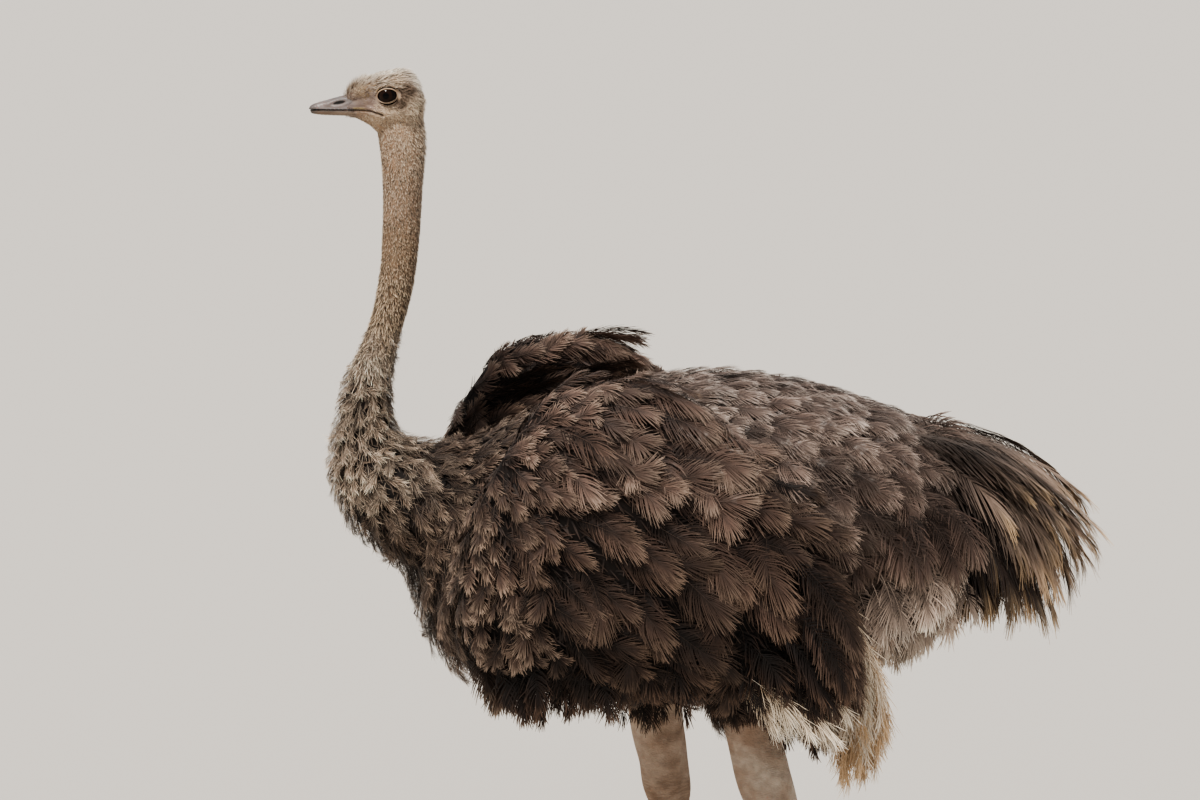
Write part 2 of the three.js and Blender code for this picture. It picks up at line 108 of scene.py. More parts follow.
def movePoints(mesh, points):
    mesh.vertices.foreach_set("co", np.asarray(points, "f").reshape(-1))
    mesh.update()


def shadeSmooth(mesh):
    mesh.polygons.foreach_set("use_smooth", [True] * len(mesh.polygons))
    mesh.update()


def loftRings(name, rings):
    # rings: (count, sides, 3); both ends are closed with a fan
    rings = np.asarray(rings, float)
    count, sides = rings.shape[:2]
    points = np.concatenate([rings.reshape(-1, 3), rings[:1].mean(1), rings[-1:].mean(1)])
    first, last = count * sides, count * sides + 1
    faces = []
    for r in range(count - 1):
        for s in range(sides):
            n = (s + 1) % sides
            faces.append((r * sides + s, r * sides + n, (r + 1) * sides + n, (r + 1) * sides + s))
    for s in range(sides):
        n = (s + 1) % sides
        faces.append((first, n, s))
        faces.append((last, (count - 1) * sides + s, (count - 1) * sides + n))
    thing = meshFrom(name, points, faces)
    makeOutward(thing)
    return thing


def makeOutward(thing):
    points = pointsOf(thing.data)
    faces = [list(p.vertices) for p in thing.data.polygons]
    volume = 0.0
    for f in faces:
        a, b, c = points[f[0]], points[f[1]], points[f[2]]
        volume += np.dot(a, np.cross(b, c))
        if len(f) == 4:
            volume += np.dot(a, np.cross(c, points[f[3]]))
    if volume < 0:
        thing.data.flip_normals()


def ovalRing(centre, across, rise, half, above, below, sides, squareness=2.2):
    angle = (np.arange(sides) + 0.5) / sides * 2 * math.pi
    power = 2 / squareness
    sideways = np.sign(np.cos(angle)) * np.abs(np.cos(angle)) ** power * half
    lift = np.sign(np.sin(angle)) * np.abs(np.sin(angle)) ** power
    lift = lift * np.where(lift > 0, above, below)
    return np.asarray(centre) + np.outer(sideways, across) + np.outer(lift, rise)


def joinThings(name, things):
    for thing in bpy.context.selected_objects:
        thing.select_set(False)
    for thing in things:
        thing.select_set(True)
    bpy.context.view_layer.objects.active = things[0]
    bpy.ops.object.join()
    things[0].name = name
    things[0].data.name = name
    return things[0]


def bakeModifiers(thing):
    # turns live modifiers into the plain mesh they give
    graph = bpy.context.evaluated_depsgraph_get()
    made = bpy.data.meshes.new_from_object(thing.evaluated_get(graph), depsgraph=graph)
    thing.modifiers.clear()
    old = thing.data
    thing.data = made
    bpy.data.meshes.remove(old)
    return thing


def remeshed(thing, voxel):
    modifier = thing.modifiers.new("remesh", "REMESH")
    modifier.mode = "VOXEL"
    modifier.voxel_size = voxel
    return bakeModifiers(thing)


def relaxed(thing, times, weight=None):
    # evens the surface out by pulling each point to the middle of its neighbours
    mesh = thing.data
    edges = np.empty(len(mesh.edges) * 2, int)
    mesh.edges.foreach_get("vertices", edges)
    a, b = edges.reshape(-1, 2).T
    points = pointsOf(mesh)
    ways = np.bincount(a, minlength=len(points)) + np.bincount(b, minlength=len(points))
    for _ in range(times):
        total = np.zeros_like(points)
        for axis in range(3):
            total[:, axis] = np.bincount(a, points[b, axis], len(points))
            total[:, axis] += np.bincount(b, points[a, axis], len(points))
        pulled = total / np.maximum(ways, 1)[:, None]
        points = mix(points, pulled, 0.5 if weight is None else 0.5 * weight[:, None])
    movePoints(mesh, points)
    return thing


def treeOf(*things):
    points, faces = [], []
    for thing in things:
        start = len(points)
        points += [v.co.copy() for v in thing.data.vertices]
        faces += [[start + i for i in p.vertices] for p in thing.data.polygons]
    return BVHTree.FromPolygons(points, faces)


camera = {"place": (-0.2005, -4.6, 2.15), "pitchDown": 10.7, "lens": 79.5, "sensor": 36.0, "sight": 400}
daylight = {"sky": 0.66, "skyColor": (0.97, 0.98, 1.0), "sun": 4.5, "sunSoftness": 11.0,
            "sunColor": (1.0, 0.96, 0.9), "sunFrom": (-0.42, -0.6, 1.4),
            "look": "AgX - Medium High Contrast"}
ground = {"half": 90.0, "color": (0.5, 0.47, 0.43), "roughness": 0.95}


def addCamera():
    data = bpy.data.cameras.new("camera")
    data.lens = camera["lens"]
    data.sensor_width = camera["sensor"]
    data.clip_end = camera["sight"]
    eye = newThing("camera", data)
    eye.location = camera["place"]
    eye.rotation_euler = (math.radians(90 - camera["pitchDown"]), 0, 0)
    bpy.context.scene.camera = eye


def addDaylight():
    world = bpy.data.worlds.new("sky")
    world.use_nodes = True
    sky = world.node_tree.nodes["Background"]
    sky.inputs["Color"].default_value = (*daylight["skyColor"], 1)
    sky.inputs["Strength"].default_value = daylight["sky"]
    bpy.context.scene.world = world
    data = bpy.data.lights.new("sun", "SUN")
    data.energy = daylight["sun"]
    data.angle = math.radians(daylight["sunSoftness"])
    data.color = daylight["sunColor"]
    sun = newThing("sun", data)
    sun.rotation_euler = Vector(daylight["sunFrom"]).to_track_quat("Z", "Y").to_euler()
    bpy.context.scene.view_settings.look = daylight["look"]


def addGround():
    h = ground["half"]
    floor = meshFrom("ground", [(-h, -h, 0), (h, -h, 0), (h, h, 0), (-h, h, 0)], [(0, 1, 2, 3)])
    material = bpy.data.materials.new("groundTone")
    material.use_nodes = True
    shader = material.node_tree.nodes["Principled BSDF"]
    shader.inputs["Base Color"].default_value = (*ground["color"], 1)
    shader.inputs["Roughness"].default_value = ground["roughness"]
    floor.data.materials.append(material)


addCamera()
addDaylight()
addGround()
print("camera, light and ground are set")


class NodeWriter:
    # a short way to write nodes, with each input a value or another node's output
    def __init__(self, tree):
        self.tree = tree

    def put(self, socket, value):
        if isinstance(value, bpy.types.NodeSocket):
            self.tree.links.new(value, socket)
        elif isinstance(value, (tuple, list)) and socket.type == "RGBA" and len(value) == 3:
            socket.default_value = (*value, 1)
        else:
            socket.default_value = value

    def add(self, kind, inputs=None, **settings):
        node = self.tree.nodes.new(kind)
        for key, value in settings.items():
            setattr(node, key, value)
        for key, value in (inputs or {}).items():
            self.put(node.inputs[key], value)
        return node

    def read(self, name, kind):
        inputs = {"Name": name}
        return self.add("GeometryNodeInputNamedAttribute", inputs, data_type=kind).outputs["Attribute"]


class Finish(NodeWriter):
    # a material on Object coordinates
    def __init__(self, name):
        self.material = bpy.data.materials.new(name)
        self.material.use_nodes = True
        super().__init__(self.material.node_tree)
        self.shader = self.tree.nodes["Principled BSDF"]
        self.place = self.add("ShaderNodeTexCoord").outputs["Object"]

    def stretched(self, stretch):
        if stretch is None:
            return self.place
        return self.add("ShaderNodeMapping", {"Vector": self.place, "Scale": stretch}).outputs[0]

    def noise(self, scale, detail=4.0, roughness=0.55, stretch=None):
        where = self.stretched(stretch)
        inputs = {"Vector": where, "Scale": scale, "Detail": detail, "Roughness": roughness}
        return self.add("ShaderNodeTexNoise", inputs).outputs["Fac"]

    def cells(self, scale, stretch):
        inputs = {"Vector": self.stretched(stretch), "Scale": scale}
        return self.add("ShaderNodeTexVoronoi", inputs, feature="F1").outputs["Distance"]

    def axes(self):
        return self.add("ShaderNodeSeparateXYZ", {0: self.place}).outputs

    def ramp(self, value, stops):
        node = self.add("ShaderNodeValToRGB", {"Fac": value})
        while len(node.color_ramp.elements) < len(stops):
            node.color_ramp.elements.new(1)
        for element, (at, color) in zip(node.color_ramp.elements, stops):
            element.position = at
            element.color = (*color, 1) if isinstance(color, tuple) else (color, color, color, 1)
        return node.outputs["Color"]

    def blend(self, fac, a, b, mode="MIX"):
        node = self.add("ShaderNodeMix", data_type="RGBA", blend_type=mode)
        self.put(node.inputs[0], fac)
        self.put(node.inputs[6], a)
        self.put(node.inputs[7], b)
        return node.outputs[2]

    def math(self, operation, a, b=0.0):
        node = self.add("ShaderNodeMath", operation=operation)
        self.put(node.inputs[0], a)
        self.put(node.inputs[1], b)
        return node.outputs[0]

    def times(self, a, b):
        return self.math("MULTIPLY", a, b)

    def plus(self, a, b):
        return self.math("ADD", a, b)

    def minus(self, a, b):
        return self.math("SUBTRACT", a, b)

    def darker(self, fac, tone, by):
        return self.blend(fac, tone, by, "MULTIPLY")

    def band(self, value, low, high):
        inputs = {"Value": value, "From Min": low, "From Max": high}
        return self.add("ShaderNodeMapRange", inputs, interpolation_type="SMOOTHSTEP").outputs["Result"]

    def bump(self, height, distance, strength):
        inputs = {"Height": height, "Distance": distance, "Strength": strength}
        return self.add("ShaderNodeBump", inputs).outputs["Normal"]

    def attribute(self, name):
        return self.add("ShaderNodeAttribute", attribute_name=name).outputs["Color"]

    def close(self, **sockets):
        for key, value in sockets.items():
            self.put(self.shader.inputs[key.replace("_", " ")], value)
        return self.material


def startTree(name, size):
    # a tree that takes points and one named size, and gives a mesh
    tree = bpy.data.node_groups.new(name, "GeometryNodeTree")
    tree.interface.new_socket("Points", in_out="INPUT", socket_type="NodeSocketGeometry")
    scale = tree.interface.new_socket(size, in_out="INPUT", socket_type="NodeSocketFloat")
    tree.interface.new_socket("Mesh", in_out="OUTPUT", socket_type="NodeSocketGeometry")
    writer = NodeWriter(tree)
    return writer, writer.add("NodeGroupInput").outputs, scale.identifier


def endTree(writer, shape, material):
    real = writer.add("GeometryNodeRealizeInstances", {0: shape}).outputs[0]
    soft = writer.add("GeometryNodeSetShadeSmooth", {0: real}).outputs[0]
    finished = writer.add("GeometryNodeSetMaterial", {0: soft, "Material": material}).outputs[0]
    writer.add("NodeGroupOutput", {0: finished})
    return writer.tree


def growTree(thing, tree, scaleSocket):
    # makes the points into the mesh that the tree gives
    modifier = thing.modifiers.new("grow", "NODES")
    modifier.node_group = tree
    modifier[scaleSocket] = 1.0
    return bakeModifiers(thing)


neckForm = {
    # front edge, back edge and half width, from the jaw down to the chest
    "front": [(-0.6, 1.79), (-0.586, 1.745), (-0.579, 1.65), (-0.584, 1.53), (-0.598, 1.45),
              (-0.618, 1.388), (-0.648, 1.33), (-0.672, 1.27), (-0.686, 1.195), (-0.684, 1.12),
              (-0.655, 1.054), (-0.6, 1.0), (-0.54, 0.95)],
    "back": [(-0.514, 1.8), (-0.505, 1.738), (-0.509, 1.65), (-0.52, 1.53), (-0.535, 1.45),
             (-0.552, 1.392), (-0.56, 1.338), (-0.56, 1.286), (-0.553, 1.246), (-0.538, 1.228),
             (-0.518, 1.222), (-0.49, 1.222), (-0.44, 1.228)],
    "half": [0.03, 0.033, 0.033, 0.031, 0.031, 0.035, 0.048, 0.062, 0.078, 0.095, 0.112, 0.13, 0.15],
    # how deep the coat is over the skin at each of these places
    "coat": [0.001, 0.002, 0.002, 0.002, 0.004, 0.007, 0.013, 0.018, 0.022, 0.024, 0.026, 0.028, 0.03],
    "rings": 150, "sides": 56,
}
headForm = {
    # x, top, bottom and half width, from the bill's root to the nape
    "stations": [(-0.638, 1.8185, 1.7795, 0.0215), (-0.632, 1.829, 1.778, 0.0245),
                 (-0.622, 1.8395, 1.776, 0.0275), (-0.6, 1.849, 1.764, 0.032),
                 (-0.578, 1.855, 1.748, 0.037), (-0.552, 1.859, 1.757, 0.038),
                 (-0.535, 1.855, 1.752, 0.0355), (-0.521, 1.842, 1.758, 0.03),
                 (-0.512, 1.818, 1.772, 0.018)],
    "coat": 0.003, "rings": 70, "sides": 72, "voxel": 0.0018,
    # where the jaw meets the neck, and how far the join is evened out
    "jaw": (-0.555, 0, 1.755), "jawReach": (0.05, 0.06, 0.022), "jawTimes": 14, "times": 2,
    # fewer faces below the first height and none fewer above the second
    "plainBelow": 1.62, "plainAbove": 1.74, "plainShare": 0.3,
}
trunkForm = {"nodes": ("neck_base", "breast", "trunk", "rump"), "voxel": 0.012, "coat": 0.03, "times": 12}
wingForm = {
    # z, front, rear, inner and outer edge, from the raised shoulder down
    "stations": [(1.35, -0.235, -0.13, 0.205, 0.235), (1.325, -0.292, -0.07, 0.196, 0.278),
                 (1.27, -0.335, 0.0, 0.188, 0.305), (1.18, -0.39, 0.07, 0.183, 0.33),
                 (1.08, -0.425, 0.12, 0.18, 0.342), (0.98, -0.435, 0.15, 0.18, 0.34),
                 (0.905, -0.415, 0.15, 0.19, 0.325), (0.865, -0.35, 0.11, 0.215, 0.3)],
    "lean": {"left": 0.0, "right": 0.095}, "leanFrom": 0.78, "leanTo": 1.25,
    "rings": 44, "sides": 48,
}
legForm = {
    # height, half depth and half width, from inside the body to the foot
    "stations": [(0.93, 0.088, 0.066), (0.82, 0.072, 0.056), (0.7, 0.05, 0.043),
                 (0.6, 0.049, 0.039), (0.53, 0.045, 0.034), (0.486, 0.037, 0.033),
                 (0.442, 0.042, 0.038), (0.405, 0.035, 0.031), (0.34, 0.026, 0.023),
                 (0.21, 0.024, 0.021), (0.125, 0.027, 0.025), (0.078, 0.033, 0.031), (0.046, 0.03, 0.03)],
    "spread": 0.122, "hock": 0.442, "hipTop": 0.93, "ankle": 0.06, "bend": 0.055, "coat": 0.0012,
    "rings": 330, "sides": 44,
}
stances = {
    "left": {"side": -1, "hip": 0.009, "hock": 0.138, "foot": 0.07},
    "right": {"side": 1, "hip": -0.132, "hock": -0.066, "foot": -0.1},
}
toeForms = {
    # along the toe, half width, middle height and rise above it
    "inner": {"turn": -0.05, "length": 0.165, "offset": 0.0,
              "stations": [(-0.2, 0.02, 0.024, 0.022), (-0.1, 0.031, 0.03, 0.038),
                           (0.06, 0.035, 0.034, 0.044), (0.25, 0.03, 0.028, 0.028),
                           (0.42, 0.03, 0.022, 0.022), (0.6, 0.028, 0.02, 0.018),
                           (0.78, 0.026, 0.018, 0.016), (0.92, 0.021, 0.015, 0.013),
                           (1, 0.01, 0.012, 0.007)]},
    "outer": {"turn": 0.42, "length": 0.118, "offset": 0.016,
              "stations": [(0.1, 0.015, 0.02, 0.014), (0.3, 0.02, 0.02, 0.018),
                           (0.55, 0.019, 0.017, 0.015), (0.8, 0.017, 0.015, 0.013),
                           (1, 0.008, 0.01, 0.006)]},
    "rings": 44, "sides": 28, "coat": 0.0008, "padDepth": 0.004,
}
eyeForm = {"x": -0.5655, "y": 0.022, "z": 1.8182, "radius": 0.0196}
gapeLine = [(-0.6335, 1.793), (-0.615, 1.7932), (-0.598, 1.7922), (-0.585, 1.7893),
            (-0.574, 1.7855)]


def nodeCopy(name, nodes):
    return joinThings(name, [newThing(name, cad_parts[node].data.copy()) for node in nodes])


def neckSkin():
    form = neckForm
    front = splineThrough(form["front"], form["rings"])
    back = splineThrough(form["back"], form["rings"])
    half = splineThrough(form["half"], form["rings"])
    coat = splineThrough(form["coat"], form["rings"])
    rings = []
    for f, b, h, c in zip(front, back, half, coat):
        f = np.array([f[0], 0, f[1]])
        b = np.array([b[0], 0, b[1]])
        deep = np.linalg.norm(f - b) / 2 - c
        ring = ovalRing((f + b) / 2, (0, 1, 0), unit(f - b), h - c, deep, deep, form["sides"], 2.05)
        rings.append(ring)
    return loftRings("neckSkin", rings)


def headSkin():
    form = headForm
    c = form["coat"]
    rings = []
    for x, top, bottom, half in splineThrough(form["stations"], form["rings"]):
        middle = (top + bottom) / 2
        deep = (top - bottom) / 2 - c
        ring = ovalRing((x, 0, middle), (0, 1, 0), up, half - c * 0.6, deep, deep, form["sides"], 2.3)
        rings.append(ring)
    return loftRings("headSkin", rings)


def bump(points, centre, radii, height):
    # a soft swelling: how much to move each point
    away = ((points - np.asarray(centre)) / np.asarray(radii)) ** 2
    return height * np.exp(-away.sum(1))


def alongLine(points, line, width, height):
    # a soft ridge (or furrow, if height is negative) along a line drawn on the side of the head
    line = splineThrough(line, 24)
    flat = points[:, [0, 2]]
    nearest = np.min(np.linalg.norm(flat[:, None, :] - line[None, :, :], axis=2), axis=1)
    return height * np.exp(-((nearest / width) ** 2))


headFolds = {
    "orbit": {"radii": (0.0195, 0.0165), "depth": 0.0085},
    "crown": {"place": (-0.545, 0, 1.861), "radii": (0.03, 1, 0.012), "height": 0.0012},
    "brow": {"line": [(-0.602, 1.829), (-0.586, 1.84), (-0.566, 1.8445), (-0.545, 1.841),
                      (-0.531, 1.831)], "width": 0.005, "height": 0.0034},
    "lore": {"line": [(-0.636, 1.806), (-0.618, 1.812), (-0.598, 1.816)], "width": 0.005, "height": -0.003},
    "culmen": {"line": [(-0.634, 1.821), (-0.615, 1.829), (-0.6, 1.833)],
               "width": 0.006, "height": 0.0014},
    "underEye": {"line": [(-0.6, 1.803), (-0.582, 1.797), (-0.56, 1.7945), (-0.54, 1.799)],
                 "width": 0.0028, "height": -0.0014},
    "cheek": {"line": [(-0.586, 1.79), (-0.56, 1.786), (-0.535, 1.787)], "width": 0.0085, "height": 0.0026},
    "ear": {"line": [(-0.548, 1.808), (-0.541, 1.803)], "width": 0.0065, "height": -0.0026},
    "gape": {"line": gapeLine, "width": 0.0024, "height": -0.0046},
    "gapeLips": {"line": gapeLine, "width": 0.0056, "height": 0.002},
    "jaw": {"line": [(-0.632, 1.784), (-0.605, 1.775), (-0.585, 1.766), (-0.57, 1.757)],
            "width": 0.007, "height": 0.0012},
    "throat": {"line": [(-0.59, 1.77), (-0.575, 1.764), (-0.56, 1.762)],
               "width": 0.003, "height": -0.001},
}


def sculptHead(thing):
    mesh = thing.data
    points = pointsOf(mesh)
    normals = normalsOf(mesh)
    onHead = smooth(1.735, 1.76, points[:, 2])
    sideways = smooth(0.15, 0.6, np.abs(normals[:, 1]))
    move = np.zeros(len(points))
    for fold in headFolds.values():
        if "line" in fold:
            move += alongLine(points, fold["line"], fold["width"], fold["height"])
    orbit = headFolds["orbit"]
    dx = (points[:, 0] - eyeForm["x"]) / orbit["radii"][0]
    dz = (points[:, 2] - eyeForm["z"]) / orbit["radii"][1]
    move -= orbit["depth"] * np.exp(-((dx**2 + dz**2) ** 1.6))
    # the back of the crown swells a little, all the way across
    crown = headFolds["crown"]
    swell = bump(points * [1, 0, 1], crown["place"], crown["radii"], crown["height"])
    move = move * sideways + swell
    points = points + normals * (move * onHead)[:, None]
    movePoints(mesh, points)


def trunkSkin():
    form = trunkForm
    thing = remeshed(nodeCopy("trunkSkin", form["nodes"]), form["voxel"])
    relaxed(thing, form["times"])
    points = pointsOf(thing.data)
    movePoints(thing.data, points - normalsOf(thing.data) * form["coat"])
    return relaxed(thing, form["times"])


def leanAt(side, z):
    return wingForm["lean"][side] * smooth(wingForm["leanFrom"], wingForm["leanTo"], z)


def wingSkin(side):
    way = stances[side]["side"]
    rings = []
    for z, front, rear, inner, outer in splineThrough(wingForm["stations"], wingForm["rings"]):
        centre = ((front + rear) / 2 - leanAt(side, z), way * (inner + outer) / 2, z)
        half, thick = (rear - front) / 2, (outer - inner) / 2
        ring = ovalRing(centre, (1, 0, 0), (0, 1, 0), half, thick, thick, wingForm["sides"], 2.3)
        rings.append(ring)
    return loftRings("wingSkin_" + side, rings)


def legLine(stance, z):
    upper = (stance["hock"] - stance["hip"]) / (legForm["hipTop"] - legForm["hock"])
    lower = (stance["hock"] - stance["foot"]) / (legForm["hock"] - legForm["ankle"])
    above = stance["hock"] - upper * (z - legForm["hock"])
    under = stance["hock"] - lower * (legForm["hock"] - z)
    return mix(under, above, smooth(legForm["hock"] - legForm["bend"], legForm["hock"] + legForm["bend"], z))


def legFold(z, angle, way):
    # loose creases over the shank, rings of wrinkles at the hock and a cord down the back of the leg
    front = np.sin(angle)
    drift = 0.5 * np.sin(2 * angle + way) + 0.35 * np.sin(3 * angle + z * 9)
    loose = np.sin(z * 170 + 3.4 * np.sin(angle + z * 10) + drift * 4)
    loose = 0.0018 * np.maximum(loose, -0.2) * smooth(0.46, 0.56, z) * np.cos(angle - 0.9 + z * 7) ** 4
    loose = loose + 0.003 * np.sin(2 * angle + z * 26 + drift) * smooth(0.5, 0.6, z)
    loose = loose + 0.0012 * np.sin(5 * angle + z * 34 + 2 * drift) * smooth(0.5, 0.6, z)
    knuckle = 0.0015 * np.sin(z * 560 + 1.6 * np.sin(2 * angle))
    knuckle = knuckle * math.exp(-(((z - legForm["hock"]) / 0.045) ** 2))
    ankle = 0.001 * np.sin(z * 620 + angle * 0.5) * math.exp(-(((z - 0.1) / 0.03) ** 2))
    tarsus = smooth(0.14, 0.22, z)
    tendon = 0.0032 * np.exp(-(((front - 1.0) / 0.1) ** 2)) * tarsus * smooth(0.66, 0.52, z)
    hollow = -0.0022 * np.exp(-(((front - 0.72) / 0.16) ** 2)) * tarsus * smooth(0.62, 0.5, z)
    return loose + knuckle + ankle + tendon + hollow


def legSkin(side):
    form, stance = legForm, stances[side]
    rings = []
    angle = (np.arange(form["sides"]) + 0.5) / form["sides"] * 2 * math.pi
    for z, deep, wide in splineThrough(form["stations"], form["rings"]):
        centre = (legLine(stance, z), stance["side"] * form["spread"], z)
        d, w = deep - form["coat"], wide - form["coat"]
        ring = ovalRing(centre, (0, 1, 0), (1, 0, 0), w, d, d, form["sides"], 2.1)
        out = unit(ring - centre)
        rings.append(ring + out * legFold(z, angle, stance["side"])[:, None])
    return loftRings("legSkin_" + side, rings)


def toeWays(stance, form):
    # where the toe starts on the floor, which way it points and the way across it
    turn = form["turn"] * stance["side"]
    root = np.array([stance["foot"], stance["side"] * (legForm["spread"] + form["offset"]), 0])
    ahead = np.array([-math.cos(turn), math.sin(turn), 0])
    return root, ahead, np.array([math.sin(turn), math.cos(turn), 0])


def toeSkin(side, toe):
    form = toeForms[toe]
    root, ahead, across = toeWays(stances[side], form)
    rings = []
    for at, half, z, rise in splineThrough(form["stations"], toeForms["rings"]):
        centre = root + ahead * at * form["length"] + up * z
        ring = ovalRing(centre, across, up, half - toeForms["coat"], rise - toeForms["coat"],
                        z + toeForms["padDepth"], toeForms["sides"])
        ring[:, 2] = np.maximum(ring[:, 2], 0.0)
        rings.append(ring)
    return loftRings(f"toeSkin_{toe}_{side}", rings)


def unite(base, others):
    group = bpy.data.collections.new("toUnite")
    for other in others:
        group.objects.link(other)
    modifier = base.modifiers.new("unite", "BOOLEAN")
    modifier.operation = "UNION"
    modifier.operand_type = "COLLECTION"
    modifier.collection = group
    modifier.solver = "MANIFOLD"
    bakeModifiers(base)
    for other in others:
        bpy.data.objects.remove(other)
    bpy.data.collections.remove(group)
    return base


def coarser(thing, low, high, ratio):
    # fewer faces below `high`, where nothing fine is modelled
    points = pointsOf(thing.data)
    group = thing.vertex_groups.new(name="plain")
    weight = smooth(high, low, points[:, 2])
    for step in np.linspace(0.1, 1.0, 10):
        chosen = np.nonzero((weight > step - 0.1) & (weight <= step))[0]
        group.add(chosen.tolist(), float(step), "REPLACE")
    modifier = thing.modifiers.new("coarser", "DECIMATE")
    modifier.ratio = ratio
    modifier.vertex_group = "plain"
    bakeModifiers(thing)
    thing.vertex_groups.clear()
    return thing


headAndNeck = remeshed(joinThings("headAndNeck", [headSkin(), neckSkin()]), headForm["voxel"])
fromJaw = (pointsOf(headAndNeck.data) - headForm["jaw"]) / headForm["jawReach"]
relaxed(headAndNeck, headForm["jawTimes"], np.exp(-(fromJaw**2).sum(1)))
relaxed(headAndNeck, headForm["times"])
sculptHead(headAndNeck)
coarser(headAndNeck, headForm["plainBelow"], headForm["plainAbove"], headForm["plainShare"])
print("head and neck", len(headAndNeck.data.polygons))
trunkBody = trunkSkin()
wingSkins = {side: wingSkin(side) for side in stances}
legSkins = [legSkin(side) for side in stances]
toeSkins = [toeSkin(side, toe) for side in stances for toe in ("inner", "outer")]
wingTree = {side: treeOf(wingSkins[side]) for side in stances}
skin = unite(headAndNeck, [trunkBody, *wingSkins.values(), *legSkins, *toeSkins])
skin.name = "skin"
shadeSmooth(skin.data)
print("skin", len(skin.data.polygons), "faces")

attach(skin, "root")
legParts = ("shank", "hock", "tarsus", "toe_inner", "toe_outer")
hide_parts("head", "neck_1", "neck_2", "neck_3", "neck_base", "breast", "trunk", "rump", "tail",
            "wing_left", "wing_right", "flight_plumes_left", "flight_plumes_right",
            *[f"{part}_{side}" for part in legParts for side in stances])

# lids: a soft grid round each eye, from the rim on the ball out to the head

lidForm = {
    "halfLong": 0.016, "halfHigh": 0.0112, "frontDrop": 0.0012, "outerLong": 0.026, "outerHigh": 0.021,
    "rim": 0.0024, "furrow": 0.0018, "fold": 0.0022, "around": 112, "across": 30,
}


def rayToSkin(tree, x, z, way):
    # the outer surface of the head at this height and length
    hit = tree.ray_cast(Vector((x, way * 0.12, z)), Vector((0, -way, 0)))
    return hit[0][1] if hit[0] else way * 0.02


def makeLid(side, tree):
    way = stances[side]["side"]
    form = lidForm
    turn = np.linspace(0, 2 * math.pi, form["around"], endpoint=False)
    points = []
    for k in range(form["across"]):
        s = k / (form["across"] - 1)
        for a in turn:
            c, d = math.cos(a), math.sin(a)
            # a flatter lower lid, an arched upper one, and a corner drawn a little to the bill
            high = form["halfHigh"] * (1.0 if d > 0 else 0.88)
            long = c * form["halfLong"] * (1 + 0.05 * (c < 0))
            inner = np.array([long, abs(d) ** 0.92 * np.sign(d) * high])
            inner[1] += form["frontDrop"] * c
            outer = np.array([c * form["outerLong"], d * form["outerHigh"]])
            flat = mix(inner, outer, s**0.9)
            x, z = eyeForm["x"] + flat[0], eyeForm["z"] + flat[1]
            reach = eyeForm["radius"] ** 2 - flat[0] ** 2 - flat[1] ** 2
            ball = eyeForm["y"] + math.sqrt(max(reach, 0.00006)) + 0.0003
            head = abs(rayToSkin(tree, x, z, way))
            y = mix(ball, head - 0.0003, smooth(0.12, 0.92, s))
            upper = smooth(-0.2, 0.7, d)
            y += form["rim"] * math.exp(-(((s - 0.13) / 0.085) ** 2))
            y -= form["furrow"] * math.exp(-(((s - 0.33) / 0.1) ** 2)) * (0.5 + 0.5 * upper)
            y += form["fold"] * math.exp(-(((s - 0.52) / 0.12) ** 2)) * (0.35 + 0.85 * upper)
            y -= 0.0007 * math.exp(-(((s - 0.52) / 0.07) ** 2)) * (1 - upper)
            y += 0.0007 * math.exp(-(((s - 0.7) / 0.08) ** 2)) * (1 - upper)
            wrinkle = 0.00022 * math.sin(a * 19 + 3 * math.sin(a * 3))
            y += wrinkle * smooth(0.1, 0.3, s) * (1 - smooth(0.6, 0.9, s))
            if k == 0:
                y -= 0.0022
            points.append((x, way * y, z))
    n = form["around"]
    faces = []
    for k in range(form["across"] - 1):
        for i in range(n):
            j = (i + 1) % n
            face = (k * n + i, k * n + j, (k + 1) * n + j, (k + 1) * n + i)
            faces.append(face if way > 0 else face[::-1])
    return meshFrom("lid_" + side, points, faces)


# eyes: a wet dark ball with a slight dome over the iris

irisForm = {"dome": 0.001, "domeReach": 0.011, "look": (-0.1, 1.0, 0.02),
            # the middle of the pupil beside the ball's, and how far the rings of colour go
            "shift": (-0.002, 0.0004), "reach": 0.02}


def makeEye(side):
    way = stances[side]["side"]
    centre = np.array([eyeForm["x"], way * eyeForm["y"], eyeForm["z"]])
    gaze = unit(np.array(irisForm["look"]) * [1, way, 1])
    east = unit(np.cross(up, gaze))
    north = np.cross(gaze, east)
    rings = []
    for polar in np.linspace(0.02, math.pi - 0.05, 56):
        turn = np.linspace(0, 2 * math.pi, 64, endpoint=False)
        fromMiddle = polar * eyeForm["radius"] / irisForm["domeReach"]
        radius = eyeForm["radius"] + irisForm["dome"] * math.exp(-(fromMiddle**4))
        around = np.outer(np.cos(turn), east) + np.outer(np.sin(turn), north)
        rings.append(centre + radius * (math.cos(polar) * gaze + math.sin(polar) * around))
    return loftRings("eye_" + side + "_ball", rings)


def eyeMaterial():
    finish = Finish("wetEye")
    split = finish.axes()
    dx = finish.minus(split["X"], eyeForm["x"] + irisForm["shift"][0])
    dz = finish.minus(split["Z"], eyeForm["z"] + irisForm["shift"][1])
    away = finish.math("SQRT", finish.plus(finish.times(dx, dx), finish.times(dz, dz)))
    ring = finish.math("DIVIDE", away, irisForm["reach"])
    streak = finish.noise(260, 5)
    tone = finish.ramp(ring, [(0.0, (0.002, 0.0015, 0.0015)), (0.26, (0.002, 0.0015, 0.0015)),
                              (0.31, (0.018, 0.008, 0.005)), (0.52, (0.018, 0.008, 0.004)),
                              (0.6, (0.003, 0.002, 0.002)), (0.8, (0.006, 0.004, 0.003))])
    tone = finish.darker(finish.times(streak, 0.5), tone, (0.5, 0.4, 0.35))
    return finish.close(Base_Color=tone, Roughness=0.045, IOR=1.24, Specular_IOR_Level=0.5)


# bill: two flat horn halves, the upper one with nostrils and a nail at its tip

